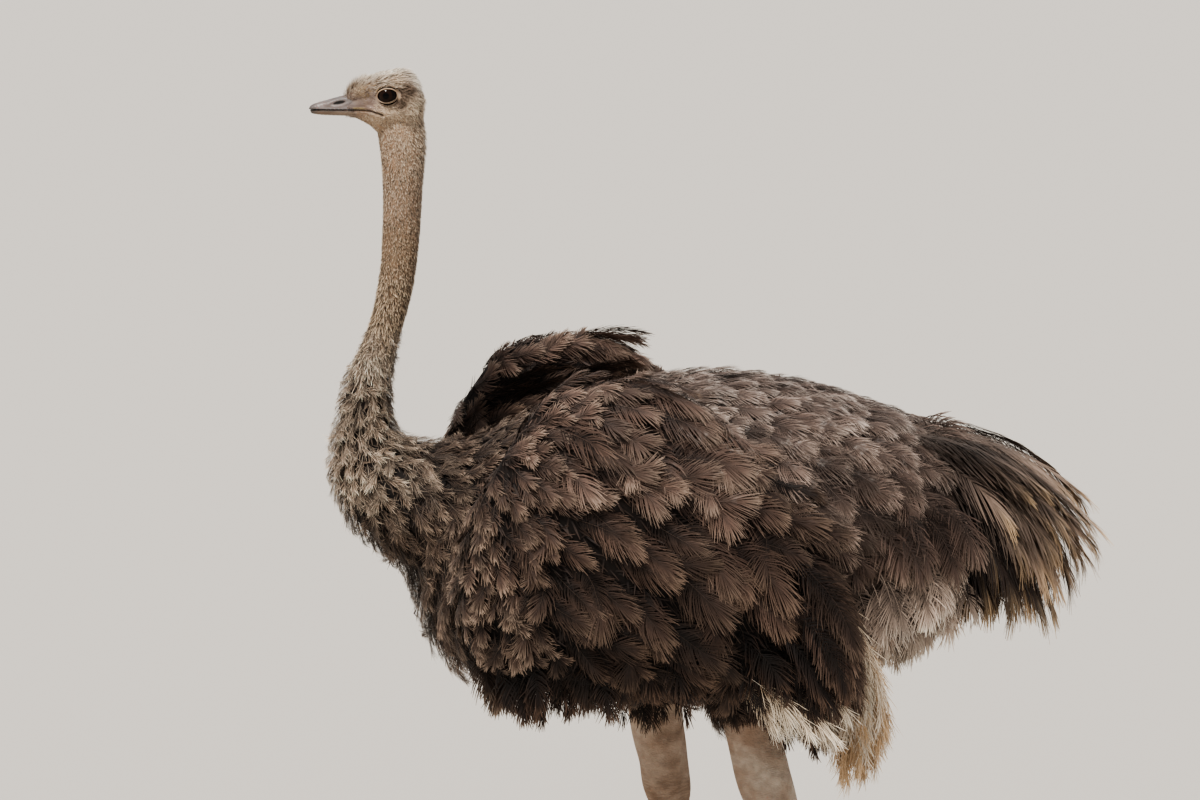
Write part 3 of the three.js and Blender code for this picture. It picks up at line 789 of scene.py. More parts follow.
billForm = {
    # x, half width, rise over the gape (or depth under it)
    "gape": 1.793,
    "upper": [(-0.7035, 0.0062, 0.003), (-0.7, 0.012, 0.0068), (-0.693, 0.0146, 0.01),
              (-0.686, 0.016, 0.0124), (-0.675, 0.0174, 0.0152), (-0.665, 0.0184, 0.0182),
              (-0.655, 0.0196, 0.0208), (-0.646, 0.0208, 0.0232), (-0.632, 0.0226, 0.0262),
              (-0.624, 0.0236, 0.0285)],
    "lower": [(-0.7015, 0.0055, 0.0028), (-0.698, 0.0112, 0.0068), (-0.684, 0.0148, 0.009),
              (-0.674, 0.0163, 0.0096), (-0.663, 0.0174, 0.01), (-0.648, 0.0194, 0.0104),
              (-0.633, 0.0214, 0.011), (-0.624, 0.0224, 0.0116)],
    "nostril": {"x": -0.65, "z": 1.8056, "half": 0.011, "high": 0.0031, "tilt": 0.19, "depth": 0.0046},
    "rings": 90, "sides": 84, "gap": 0.00035, "edge": 0.0012,
}


def billHalf(name, stations, above):
    form = billForm
    rings = []
    way = 1 if above else -1
    for x, half, rise in splineThrough(stations, form["rings"]):
        centre = (x, 0, form["gape"] + way * form["gap"] + way * form["edge"])
        tall = (rise - form["edge"], form["edge"])[::way]
        rings.append(ovalRing(centre, (0, 1, 0), up, half, *tall, form["sides"], 2.5 if above else 2.9))
    thing = loftRings(name, rings)
    points = pointsOf(thing.data)
    normals = normalsOf(thing.data)
    if above:
        hole = form["nostril"]
        dx, dz = points[:, 0] - hole["x"], points[:, 2] - hole["z"]
        c, s = math.cos(hole["tilt"]), math.sin(hole["tilt"])
        along, tall = dx * c + dz * s, -dx * s + dz * c
        r = np.sqrt((along / hole["half"]) ** 2 + (tall / hole["high"]) ** 2)
        sideways = smooth(0.3, 0.7, np.abs(normals[:, 1]))
        points = points - normals * (hole["depth"] * np.exp(-(r**2.4)) * sideways)[:, None]
        points = points + normals * (0.0007 * np.exp(-(((r - 1.7) / 0.55) ** 2)) * sideways)[:, None]
        # a dished flank between the edge and the culmen, and the nail's step near the tip
        flank = np.exp(-(((points[:, 2] - form["gape"] - 0.0065) / 0.0042) ** 2)) * sideways
        points = points - normals * (0.0011 * flank * smooth(-0.692, -0.675, points[:, 0]))[:, None]
        nail = np.exp(-(((points[:, 0] + 0.6905) / 0.0012) ** 2))
        points = points - normals * (0.0004 * nail)[:, None]
    wear = 0.00016 * np.sin(points[:, 0] * 900 + 40 * points[:, 2]) * np.sin(points[:, 2] * 700)
    movePoints(thing.data, points + normals * wear[:, None])
    shadeSmooth(thing.data)
    return thing


def billMaterial(name, base, edge, ridge, under):
    finish = Finish(name)
    split = finish.axes()
    height = finish.minus(split["Z"], billForm["gape"])
    hole = billForm["nostril"]
    nearX = finish.math("DIVIDE", finish.minus(split["X"], hole["x"]), hole["half"])
    slope = finish.times(finish.minus(split["X"], hole["x"]), hole["tilt"])
    nearZ = finish.minus(finish.minus(split["Z"], hole["z"]), slope)
    nearZ = finish.math("DIVIDE", nearZ, hole["high"])
    nostrilShadeDistance = finish.plus(finish.times(nearX, nearX), finish.times(nearZ, nearZ))
    streaks = finish.noise(70, 6, stretch=(0.35, 1.6, 3.0))
    fine = finish.noise(600, 3, stretch=(0.4, 1.0, 1.6))
    tone = finish.blend(finish.band(height, 0.0005, 0.004), edge, base)
    tone = finish.blend(finish.band(height, 0.008, 0.019), tone, ridge)
    tone = finish.blend(finish.band(height, -0.001, -0.006), tone, under)
    tip = finish.band(split["X"], -0.684, -0.699)
    tone = finish.blend(finish.times(tip, 0.75), tone, (0.06, 0.05, 0.046))
    tone = finish.darker(finish.band(streaks, 0.42, 0.66), tone, (0.7, 0.64, 0.6))
    speckle = finish.times(finish.band(fine, 0.45, 0.7), 0.4)
    tone = finish.darker(speckle, tone, (0.75, 0.7, 0.66))
    # painted shade: the nostril openings are near black inside
    tone = finish.blend(finish.band(nostrilShadeDistance, 1.25, 0.55), tone, (0.012, 0.009, 0.008))
    grain = finish.plus(streaks, finish.times(fine, 0.35))
    rough = finish.plus(0.34, finish.times(fine, 0.25))
    return finish.close(Base_Color=tone, Roughness=rough, Normal=finish.bump(grain, 0.0007, 0.55),
                        Subsurface_Weight=0.06, Specular_IOR_Level=0.5)


# claws: blunt dark nails at the ends of the big toes

clawForm = {"length": 0.034, "half": 0.0094, "high": 0.0158, "inToe": 0.012, "tip": 0.0016,
            "rings": 36, "sides": 36}


def makeClaw(side):
    toe = toeForms["inner"]
    root, ahead, across = toeWays(stances[side], toe)
    root = root + ahead * (toe["length"] - clawForm["inToe"])
    rings = []
    for k in range(clawForm["rings"]):
        t = k / (clawForm["rings"] - 1)
        half = clawForm["half"] * math.sqrt(max(1 - t**2.2, 0.004))
        high = clawForm["high"] * (1 - t**2.0) + clawForm["tip"]
        place = root + ahead * (t * (clawForm["length"] + clawForm["inToe"]))
        place = place + up * (clawForm["tip"] + high * 0.42)
        ring = ovalRing(place, across, up, half, high * 0.55, high * 0.45, clawForm["sides"], 2.0)
        ring[:, 2] = np.maximum(ring[:, 2], 0.0004)
        rings.append(ring)
    thing = loftRings("claw_" + side + "_nail", rings)
    shadeSmooth(thing.data)
    return thing


def clawMaterial():
    finish = Finish("clawHorn")
    rings = finish.noise(120, 5, stretch=(2.2, 0.5, 0.5))
    grit = finish.noise(700, 3)
    tone = finish.ramp(rings, [(0.3, (0.02, 0.016, 0.013)), (0.55, (0.06, 0.048, 0.038)),
                               (0.75, (0.13, 0.105, 0.08))])
    rough = finish.plus(0.36, finish.times(grit, 0.3))
    return finish.close(Base_Color=tone, Roughness=rough, Normal=finish.bump(rings, 0.001, 0.5))


headTree = treeOf(skin)
lids = [makeLid(side, headTree) for side in stances]
skin = joinThings("skin", [skin, *lids])
shadeSmooth(skin.data)
eyeFinish = eyeMaterial()
for side in stances:
    eye = makeEye(side)
    shadeSmooth(eye.data)
    eye.data.materials.append(eyeFinish)
    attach(eye, "root")
    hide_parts("eye_" + side)
upperBill = billHalf("upperBill", billForm["upper"], True)
upperBill.data.materials.append(billMaterial("upperBillHorn", (0.205, 0.17, 0.16), (0.085, 0.07, 0.064),
                                             (0.15, 0.128, 0.122), (0.1, 0.08, 0.07)))
lowerBill = billHalf("lowerBill", billForm["lower"], False)
lowerBill.data.materials.append(billMaterial("lowerBillHorn", (0.16, 0.12, 0.095), (0.115, 0.088, 0.072),
                                             (0.16, 0.12, 0.09), (0.235, 0.17, 0.122)))
for piece, node in ((upperBill, "bill_upper"), (lowerBill, "bill_lower")):
    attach(piece, "root")
    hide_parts(node)
clawFinish = clawMaterial()
for side in stances:
    claw = makeClaw(side)
    claw.data.materials.append(clawFinish)
    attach(claw, "root")
    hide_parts("claw_" + side)
print("lids, eyes, bill and claws")

# the coat: plumes grow from roots on the skin, along a lie that a few guides set

palette = {
    # colour at a barb's root, along it and at its tip: the dark roots are partly painted shade where plumes
    # overlap, and the pale tips are partly real pale fringes and partly painted highlight where the rims
    # catch the light
    "wingTop": ((0.15, 0.112, 0.096), (0.395, 0.318, 0.28), (0.64, 0.565, 0.505)),
    "wing": ((0.098, 0.068, 0.056), (0.275, 0.212, 0.18), (0.52, 0.44, 0.378)),
    "wingDark": ((0.068, 0.046, 0.037), (0.215, 0.16, 0.133), (0.46, 0.378, 0.318)),
    "wingLow": ((0.042, 0.027, 0.022), (0.14, 0.099, 0.081), (0.44, 0.35, 0.29)),
    "breast": ((0.074, 0.051, 0.042), (0.28, 0.22, 0.187), (0.66, 0.58, 0.51)),
    "back": ((0.205, 0.165, 0.147), (0.46, 0.395, 0.36), (0.84, 0.785, 0.74)),
    "rump": ((0.165, 0.13, 0.115), (0.345, 0.28, 0.25), (0.59, 0.515, 0.46)),
    "backLow": ((0.18, 0.143, 0.127), (0.385, 0.322, 0.29), (0.69, 0.62, 0.57)),
    # painted light: the low rump faces down and away from the sun and is given paler plumes
    "rumpLowPaintedLight": ((0.33, 0.28, 0.25), (0.68, 0.61, 0.555), (0.93, 0.885, 0.825)),
    "rumpEdge": ((0.34, 0.29, 0.255), (0.66, 0.59, 0.53), (0.89, 0.835, 0.765)),
    "neckBase": ((0.14, 0.112, 0.098), (0.57, 0.495, 0.425), (0.97, 0.91, 0.82)),
    "neckLow": ((0.075, 0.054, 0.044), (0.27, 0.214, 0.178), (0.62, 0.535, 0.46)),
    "tailTop": ((0.35, 0.3, 0.268), (0.56, 0.485, 0.43), (0.82, 0.75, 0.67)),
    "tailMid": ((0.09, 0.07, 0.062), (0.27, 0.215, 0.188), (0.6, 0.51, 0.43)),
    "tailDark": ((0.052, 0.04, 0.036), (0.15, 0.114, 0.102), (0.45, 0.37, 0.31)),
    "tailTip": ((0.34, 0.26, 0.19), (0.64, 0.52, 0.4), (0.81, 0.695, 0.55)),
    "cream": ((0.56, 0.48, 0.39), (0.86, 0.8, 0.71), (0.97, 0.94, 0.88)),
    "tan": ((0.44, 0.34, 0.25), (0.78, 0.66, 0.515), (0.92, 0.815, 0.68)),
}
bodyGuides = [
    # place (x, y to either side, z), angle below straight back, length, half width, rise at the tip, tone
    ((-0.59, 0.035, 1.41), 84, 0.022, 0.005, 0.007, "neckBase"),
    ((-0.64, 0.02, 1.31), 84, 0.032, 0.008, 0.012, "neckBase"),
    ((-0.56, 0.04, 1.31), 80, 0.032, 0.008, 0.01, "neckBase"),
    ((-0.67, 0.03, 1.19), 82, 0.04, 0.01, 0.016, "neckBase"),
    ((-0.58, 0.09, 1.2), 66, 0.042, 0.01, 0.014, "neckBase"),
    ((-0.42, 0.18, 1.18), 30, 0.06, 0.016, 0.016, "breast"),
    ((-0.5, 0.04, 1.225), 20, 0.055, 0.014, 0.012, "breast"),
    ((-0.64, 0.04, 1.05), 72, 0.052, 0.012, 0.02, "neckLow"),
    ((-0.55, 0.13, 1.09), 62, 0.056, 0.014, 0.018, "neckLow"),
    ((-0.55, 0.06, 0.94), 76, 0.07, 0.016, 0.022, "neckLow"),
    ((-0.47, 0.17, 1.12), 48, 0.056, 0.017, 0.016, "breast"),
    ((-0.43, 0.19, 1.06), 62, 0.06, 0.018, 0.018, "breast"),
    ((-0.48, 0.17, 1.0), 76, 0.085, 0.02, 0.022, "breast"),
    ((-0.5, 0.08, 0.86), 72, 0.1, 0.022, 0.024, "breast"),
    ((-0.42, 0.12, 1.23), 8, 0.075, 0.02, 0.014, "breast"),
    ((-0.43, 0.2, 0.85), 70, 0.11, 0.024, 0.026, "wingLow"),
    ((-0.25, 0.1, 0.72), 34, 0.11, 0.028, 0.02, "wingLow"),
    ((0.0, 0.1, 0.715), 24, 0.11, 0.028, 0.02, "wingLow"),
    ((0.15, 0.2, 0.76), 50, 0.11, 0.028, 0.022, "wingLow"),
    ((-0.25, 0.08, 1.32), 2, 0.072, 0.026, 0.011, "back"),
    ((-0.05, 0.08, 1.35), 3, 0.066, 0.026, 0.011, "back"),
    ((0.15, 0.08, 1.34), 8, 0.064, 0.026, 0.011, "back"),
    ((0.32, 0.06, 1.285), 15, 0.064, 0.026, 0.011, "back"),
    ((0.05, 0.22, 1.27), 18, 0.072, 0.029, 0.013, "backLow"),
    ((0.23, 0.2, 1.2), 26, 0.07, 0.029, 0.013, "backLow"),
    ((0.42, 0.08, 1.19), 40, 0.07, 0.027, 0.014, "backLow"),
    ((0.2, 0.27, 1.08), 42, 0.078, 0.029, 0.016, "rump"),
    ((0.33, 0.19, 1.08), 42, 0.076, 0.029, 0.016, "rump"),
    ((0.43, 0.1, 1.08), 50, 0.076, 0.028, 0.016, "rump"),
    ((0.27, 0.23, 0.97), 62, 0.08, 0.028, 0.018, "rumpLowPaintedLight"),
    ((0.38, 0.14, 0.99), 64, 0.08, 0.028, 0.018, "rumpLowPaintedLight"),
    ((0.23, 0.15, 0.86), 70, 0.075, 0.026, 0.02, "rumpEdge"),
    ((0.33, 0.1, 0.9), 70, 0.072, 0.026, 0.02, "rumpEdge"),
    ((0.41, 0.07, 0.94), 70, 0.07, 0.025, 0.02, "rumpEdge"),
]
wingGuides = [
    # the leading edge and the shoulder: small coverts
    ((-0.225, 0.225, 1.372), 4, 0.07, 0.022, 0.014, "wingTop"),
    ((-0.3, 0.245, 1.325), 16, 0.065, 0.022, 0.016, "wingTop"),
    ((-0.35, 0.265, 1.25), 34, 0.06, 0.021, 0.018, "wingTop"),
    ((-0.395, 0.265, 1.15), 62, 0.05, 0.017, 0.016, "breast"),
    ((-0.42, 0.225, 1.1), 74, 0.05, 0.016, 0.016, "breast"),
    ((-0.425, 0.27, 1.05), 76, 0.052, 0.016, 0.016, "breast"),
    ((-0.43, 0.29, 0.95), 80, 0.062, 0.017, 0.016, "breast"),
    ((-0.4, 0.29, 0.88), 76, 0.075, 0.018, 0.018, "breast"),
    ((-0.345, 0.3, 1.265), 28, 0.046, 0.017, 0.014, "wingTop"),
    ((-0.328, 0.3, 1.285), 20, 0.048, 0.017, 0.014, "wingTop"),
    ((-0.372, 0.3, 1.215), 50, 0.046, 0.017, 0.014, "wing"),
    ((-0.395, 0.305, 1.13), 68, 0.054, 0.018, 0.016, "breast"),
    ((-0.3, 0.285, 1.31), 12, 0.054, 0.019, 0.015, "wingTop"),
    # the flank
    ((-0.13, 0.24, 1.36), 10, 0.105, 0.034, 0.018, "wingTop"),
    ((-0.05, 0.23, 1.33), 16, 0.115, 0.036, 0.02, "wingTop"),
    ((-0.26, 0.3, 1.26), 26, 0.105, 0.034, 0.024, "wingTop"),
    ((-0.12, 0.31, 1.25), 22, 0.13, 0.042, 0.028, "wingTop"),
    ((0.03, 0.3, 1.2), 30, 0.14, 0.043, 0.028, "wing"),
    ((-0.34, 0.33, 1.12), 56, 0.076, 0.023, 0.02, "wing"),
    ((-0.22, 0.35, 1.12), 36, 0.135, 0.04, 0.03, "wing"),
    ((-0.05, 0.35, 1.1), 34, 0.145, 0.043, 0.03, "wing"),
    ((0.1, 0.33, 1.08), 44, 0.165, 0.038, 0.028, "wing"),
    ((-0.36, 0.34, 0.99), 72, 0.066, 0.02, 0.02, "breast"),
    ((-0.26, 0.36, 0.98), 58, 0.09, 0.027, 0.026, "wingDark"),
    ((-0.12, 0.37, 0.97), 50, 0.125, 0.036, 0.03, "wingDark"),
    ((0.05, 0.36, 0.98), 48, 0.15, 0.038, 0.03, "wingDark"),
    ((0.16, 0.32, 0.98), 54, 0.175, 0.034, 0.026, "wing"),
    ((-0.33, 0.34, 0.88), 74, 0.085, 0.022, 0.022, "wingLow"),
    ((-0.18, 0.35, 0.87), 64, 0.115, 0.03, 0.028, "wingLow"),
    ((-0.02, 0.345, 0.86), 56, 0.13, 0.034, 0.028, "wingLow"),
    ((0.12, 0.31, 0.86), 54, 0.15, 0.034, 0.026, "wingLow"),
    # the inner side, which streams up and over the ridge
    ((-0.39, 0.195, 1.18), -58, 0.11, 0.026, 0.012, "wingDark"),
    ((-0.3, 0.19, 1.27), -42, 0.135, 0.026, 0.012, "wingDark"),
    ((-0.16, 0.19, 1.3), -16, 0.135, 0.028, 0.014, "wingDark"),
    ((0.0, 0.19, 1.25), 10, 0.12, 0.028, 0.014, "wingLow"),
]
plumeLook = {
    # what most plumes share: lie and bend of the shaft, set of the barbs, gathering, fall, width and tone
    "broad": 1.0, "wander": 0.16, "bend": 0.35, "reach": 1.4, "open": 62, "openTip": 8, "tipSpread": 4,
    "turnIn": 0.1, "close": 0.38, "gather": 0.14, "wisp": 4, "swell": 0.55, "blunt": 0.3, "bare": 0.06,
    "crowd": 0.9, "sag": 0.0, "cup": 0.34, "tuck": 0.8, "roll": 0.16, "tilt": 0.22, "frizz": 0.003,
    "thick": 0.0011, "mottle": 0.26, "outward": 0.8, "along": 0.55, "midway": 0.5, "stalk": 0.001,
    "stalkTone": 0.1, "face": 72,
}
coatPieces = {
    # spacing of the roots as a share of the plume's length, barbs on a plume `at` this long, points to a barb
    "wing": {**plumeLook, "spacing": 0.298, "barbs": 128, "at": 0.15, "points": 4, "guides": wingGuides,
        "wander": 0.32, "bend": 1.0, "reach": 1.36, "open": 60, "turnIn": 0.45, "close": 0.42,
        "swell": 0.84, "blunt": 0.42, "crowd": 0.74, "sag": 0.08, "cup": 0.55, "tuck": 0.5, "tilt": 0.13,
        "frizz": 0.0026, "thick": 0.0015, "mottle": 0.24},
    "breast": {**plumeLook, "spacing": 0.29, "barbs": 86, "at": 0.115, "points": 3, "guides": bodyGuides,
        "wander": 0.4, "reach": 1.45, "openTip": 12, "tipSpread": 6, "turnIn": 0.3, "gather": 0.26,
        "wisp": 3, "bare": 0.08, "crowd": 0.8, "sag": 0.1, "thick": 0.0013, "mottle": 0.28},
    "back": {**plumeLook, "spacing": 0.37, "barbs": 112, "at": 0.08, "points": 3, "guides": bodyGuides,
        "broad": 1.15, "wander": 0.34, "reach": 1.2, "open": 66, "turnIn": 0.45, "close": 0.4,
        "gather": 0.08, "swell": 0.88, "blunt": 0.42, "bare": 0.08, "crowd": 0.72, "sag": 0.06, "cup": 0.5,
        "tuck": 0.5, "tilt": 0.14, "frizz": 0.0016, "stalk": 0.0009},
    "rump": {**plumeLook, "spacing": 0.36, "barbs": 100, "at": 0.085, "points": 3, "guides": bodyGuides,
        "broad": 1.12, "wander": 0.42, "reach": 1.3, "open": 64, "tipSpread": 5, "turnIn": 0.4,
        "close": 0.42, "swell": 0.88, "blunt": 0.36, "bare": 0.1, "crowd": 0.74, "sag": 0.1, "cup": 0.45,
        "mottle": 0.3, "stalk": 0.0009},
    "neckBase": {**plumeLook, "spacing": 0.27, "barbs": 38, "at": 0.05, "points": 3, "guides": bodyGuides,
        "wander": 0.55, "bend": 0.9, "reach": 2.0, "open": 46, "openTip": 10, "tipSpread": 10, "close": 0.3,
        "gather": 0.3, "wisp": 2, "bare": 0.05, "frizz": 0.0034, "thick": 0.0009, "mottle": 0.36,
        "stalk": 0.0008, "stalkTone": 0.55},
    "tail": {**plumeLook, "barbs": 114, "at": 0.33, "points": 5, "reach": 1.6, "open": 42, "openTip": 10,
        "tipSpread": 5, "turnIn": 0.3, "gather": 0.26, "swell": 0.85, "blunt": 0.2, "bare": 0.03,
        "crowd": 0.85, "sag": 0.22, "cup": 0.35, "tuck": 0.3, "roll": 0.1, "thick": 0.0026, "mottle": 0.28,
        "outward": 0.32, "along": 1.5, "midway": 0.55, "stalk": 0.0007},
    "hanging": {**plumeLook, "barbs": 82, "at": 0.24, "points": 5, "reach": 1.8, "open": 36, "openTip": 12,
        "gather": 0.35, "bare": 0.16, "sag": 0.15, "cup": 0.2, "tuck": 0.2, "frizz": 0.007, "thick": 0.0012,
        "mottle": 0.1, "stalk": 0.0007, "stalkTone": 0.55},
    "fringe": {**plumeLook, "barbs": 55, "at": 0.12, "points": 4, "open": 56, "tipSpread": 5, "turnIn": 0.4,
        "gather": 0.16, "swell": 0.86, "blunt": 0.34, "bare": 0.08, "crowd": 0.76, "sag": 0.12, "cup": 0.35,
        "tuck": 0.4, "tilt": 0.16, "thick": 0.0019, "stalkTone": 0.0},
    "ridge": {**plumeLook, "barbs": 104, "at": 0.14, "points": 4, "open": 50, "turnIn": 0.3, "gather": 0.2,
        "blunt": 0.35, "crowd": 0.8, "cup": 0.4, "tuck": 0.4, "frizz": 0.002, "thick": 0.0014,
        "mottle": 0.24, "stalkTone": 0.0, "face": 30},
    "crest": {**plumeLook, "barbs": 82, "at": 0.16, "points": 4, "reach": 1.5, "open": 34, "gather": 0.42,
        "blunt": 0.15, "crowd": 0.85, "cup": 0.3, "tuck": 0.2, "thick": 0.0016, "stalkTone": 0.0, "face": 40},
}


def linear(color):
    color = np.asarray(color, float)
    return np.where(color <= 0.04045, color / 12.92, ((color + 0.055) / 1.055) ** 2.4)


class Guides:
    def __init__(self, rows, reach=0.075, leans=False):
        self.leans = leans
        self.place = np.array([row[0] for row in rows])
        angle = np.radians([row[1] for row in rows])
        self.flow = np.stack([np.cos(angle), 0 * angle, -np.sin(angle)], 1)
        self.sizes = np.array([row[2:5] for row in rows])
        self.tones = linear([palette[row[5]] for row in rows])
        self.reach = reach

    def weights(self, points):
        mirrored = bothSides(points)
        if self.leans:
            mirrored[:, 0] += leanAt("right", points[:, 2]) * (points[:, 1] > 0)
        away = ((mirrored[:, None] - self.place[None]) ** 2).sum(2)
        weight = 1 / (away + (0.35 * self.reach) ** 2) ** 2
        return weight / weight.sum(1, keepdims=True)

    def flowAt(self, points):
        return unit(self.weights(points) @ self.flow)

    def sizesAt(self, points):
        return self.weights(points) @ self.sizes

    def tonesAt(self, points):
        return np.einsum("ng,gkc->nkc", self.weights(points), self.tones)


def samplePoints(mesh, keep, count, rng):
    # points spread evenly by area over the faces that `keep` picks by their middle and normal
    mesh.calc_loop_triangles()
    triangles = np.empty(len(mesh.loop_triangles) * 3, int)
    mesh.loop_triangles.foreach_get("vertices", triangles)
    corners = pointsOf(mesh)[triangles.reshape(-1, 3)]
    cross = np.cross(corners[:, 1] - corners[:, 0], corners[:, 2] - corners[:, 0])
    area = np.linalg.norm(cross, axis=1) / 2
    normal = unit(cross)
    area = area * keep(corners.mean(1), normal)
    pick = rng.choice(len(area), count, p=area / area.sum())
    a, b = np.sqrt(rng.random(count)), rng.random(count)
    share = np.stack([1 - a, a * (1 - b), a * b], 1)
    return (corners[pick] * share[:, :, None]).sum(1), normal[pick], area.sum()


def thinOut(points, spacing):
    # keeps points that stand at least `spacing` apart
    size = float(np.max(spacing))
    cells, kept = {}, []
    for i, p in enumerate(points):
        key = tuple((p // size).astype(int))
        near = (j for a in (-1, 0, 1) for b in (-1, 0, 1) for c in (-1, 0, 1)
                for j in cells.get((key[0] + a, key[1] + b, key[2] + c), ()))
        limit = spacing[i] ** 2
        if all(((points[j] - p) ** 2).sum() > limit for j in near):
            cells.setdefault(key, []).append(i)
            kept.append(i)
    return np.array(kept)


def nearestOn(tree, points):
    found = [tree.find_nearest(Vector(p)) for p in points]
    return np.array([f[0] for f in found]), np.array([f[1] for f in found])


def alongSkin(flow, normals):
    return unit(flow - normals * (flow * normals).sum(1, keepdims=True))


def turned(vector, axis, angle):
    angle = angle[:, None]
    return vector * np.cos(angle) + np.cross(axis, vector) * np.sin(angle)


shaftForm = {
    # points to a shaft, start over the skin, how much it turns to the lie, sinks back and droops past an edge
    "steps": 9, "start": 0.001, "toLie": 0.14, "hug": 0.22, "lift": 0.7, "droop": 0.1, "freeOver": 0.02,
}


def growShafts(tree, roots, normals, flowAt, sizes, look, rng):
    # each shaft sets out along the lie, rises over the skin and hangs free past an edge
    count, steps = len(roots), shaftForm["steps"]
    length, rise = sizes[:, 0], sizes[:, 2]
    place = roots + normals * shaftForm["start"]
    heading = alongSkin(flowAt(roots), normals)
    heading = turned(heading, normals, rng.normal(0, look["wander"], count))
    curve = rng.normal(0, look["bend"], count) / steps
    step = (length / (steps - 1))[:, None]
    shaft, facing = [place], [normals]
    for k in range(1, steps):
        t = k / (steps - 1)
        lie = flowAt(place)
        lie = lie - normals * (lie * normals).sum(1, keepdims=True)
        heading = unit(turned(heading, normals, curve) + shaftForm["toLie"] * lie)
        ahead = place + heading * step
        ground, out = nearestOn(tree, ahead)
        height = ((ahead - ground) * out).sum(1, keepdims=True)
        wanted = shaftForm["start"] + (rise * t**1.15)[:, None]
        pull = np.clip(wanted - height, -shaftForm["hug"] * step, shaftForm["lift"] * step)
        ahead = ahead + out * pull
        free = np.clip((height + pull - wanted) / shaftForm["freeOver"], 0, 1)
        heading = unit(ahead - place) - up * shaftForm["droop"] * free
        heading = unit(heading)
        normals = unit(0.55 * normals + 0.45 * out)
        normals = unit(normals - heading * (normals * heading).sum(1, keepdims=True))
        place = ahead
        shaft.append(place)
        facing.append(normals)
    return np.stack(shaft, 1), np.stack(facing, 1)


class Strips:
    # gathers fine strips, each a run of points with a width, a side direction, a colour and a place to bake
    def __init__(self):
        self.sets = []

    def add(self, points, across, width, color, bake):
        self.sets.append((points, across, width, color, bake))

    def mesh(self, name):
        mesh = bpy.data.meshes.new(name)
        flat = []
        for k in range(5):
            flat.append(np.concatenate([part[k].reshape(-1, *part[k].shape[2:]) for part in self.sets]))
        start, edges = 0, []
        for part in self.sets:
            count, length = part[0].shape[:2]
            index = start + np.arange(count * length).reshape(count, length)
            edges.append(np.stack([index[:, :-1], index[:, 1:]], -1).reshape(-1))
            start += count * length
        edges = np.concatenate(edges)
        mesh.vertices.add(start)
        mesh.vertices.foreach_set("co", flat[0].reshape(-1).astype("f"))
        mesh.edges.add(len(edges) // 2)
        mesh.edges.foreach_set("vertices", edges.astype("i"))
        setLayer(mesh, "barbAcross", "FLOAT_VECTOR", "vector", flat[1])
        setLayer(mesh, "barbWidth", "FLOAT", "value", flat[2])
        setTone(mesh, "barbColor", flat[3])
        setLayer(mesh, "bakeAt", "FLOAT_VECTOR", "vector", np.concatenate([flat[4], np.zeros((start, 1))], 1))
        mesh.update()
        return mesh


barbForm = {
    # a barb's width at five places along it, and how much each varies
    "taper": np.array([0.75, 1.0, 0.95, 0.75, 0.28]), "lengths": (0.86, 1.14), "turn": 6.28,
    "ripple": 0.16, "ripples": 13, "baseStray": 0.05, "tipStray": 0.13, "liftStray": 0.0011,
    "cups": (0.4, 1.7), "falls": (0.5, 1.5), "stalkPoints": 6, "stalkLift": 0.0006,
}
bakePatch = {"wide": 0.0012, "high": 0.0026}  # a plume's own place on the map


def patchUp(t):
    return np.stack([0 * t, bakePatch["high"] * t], -1)[None]


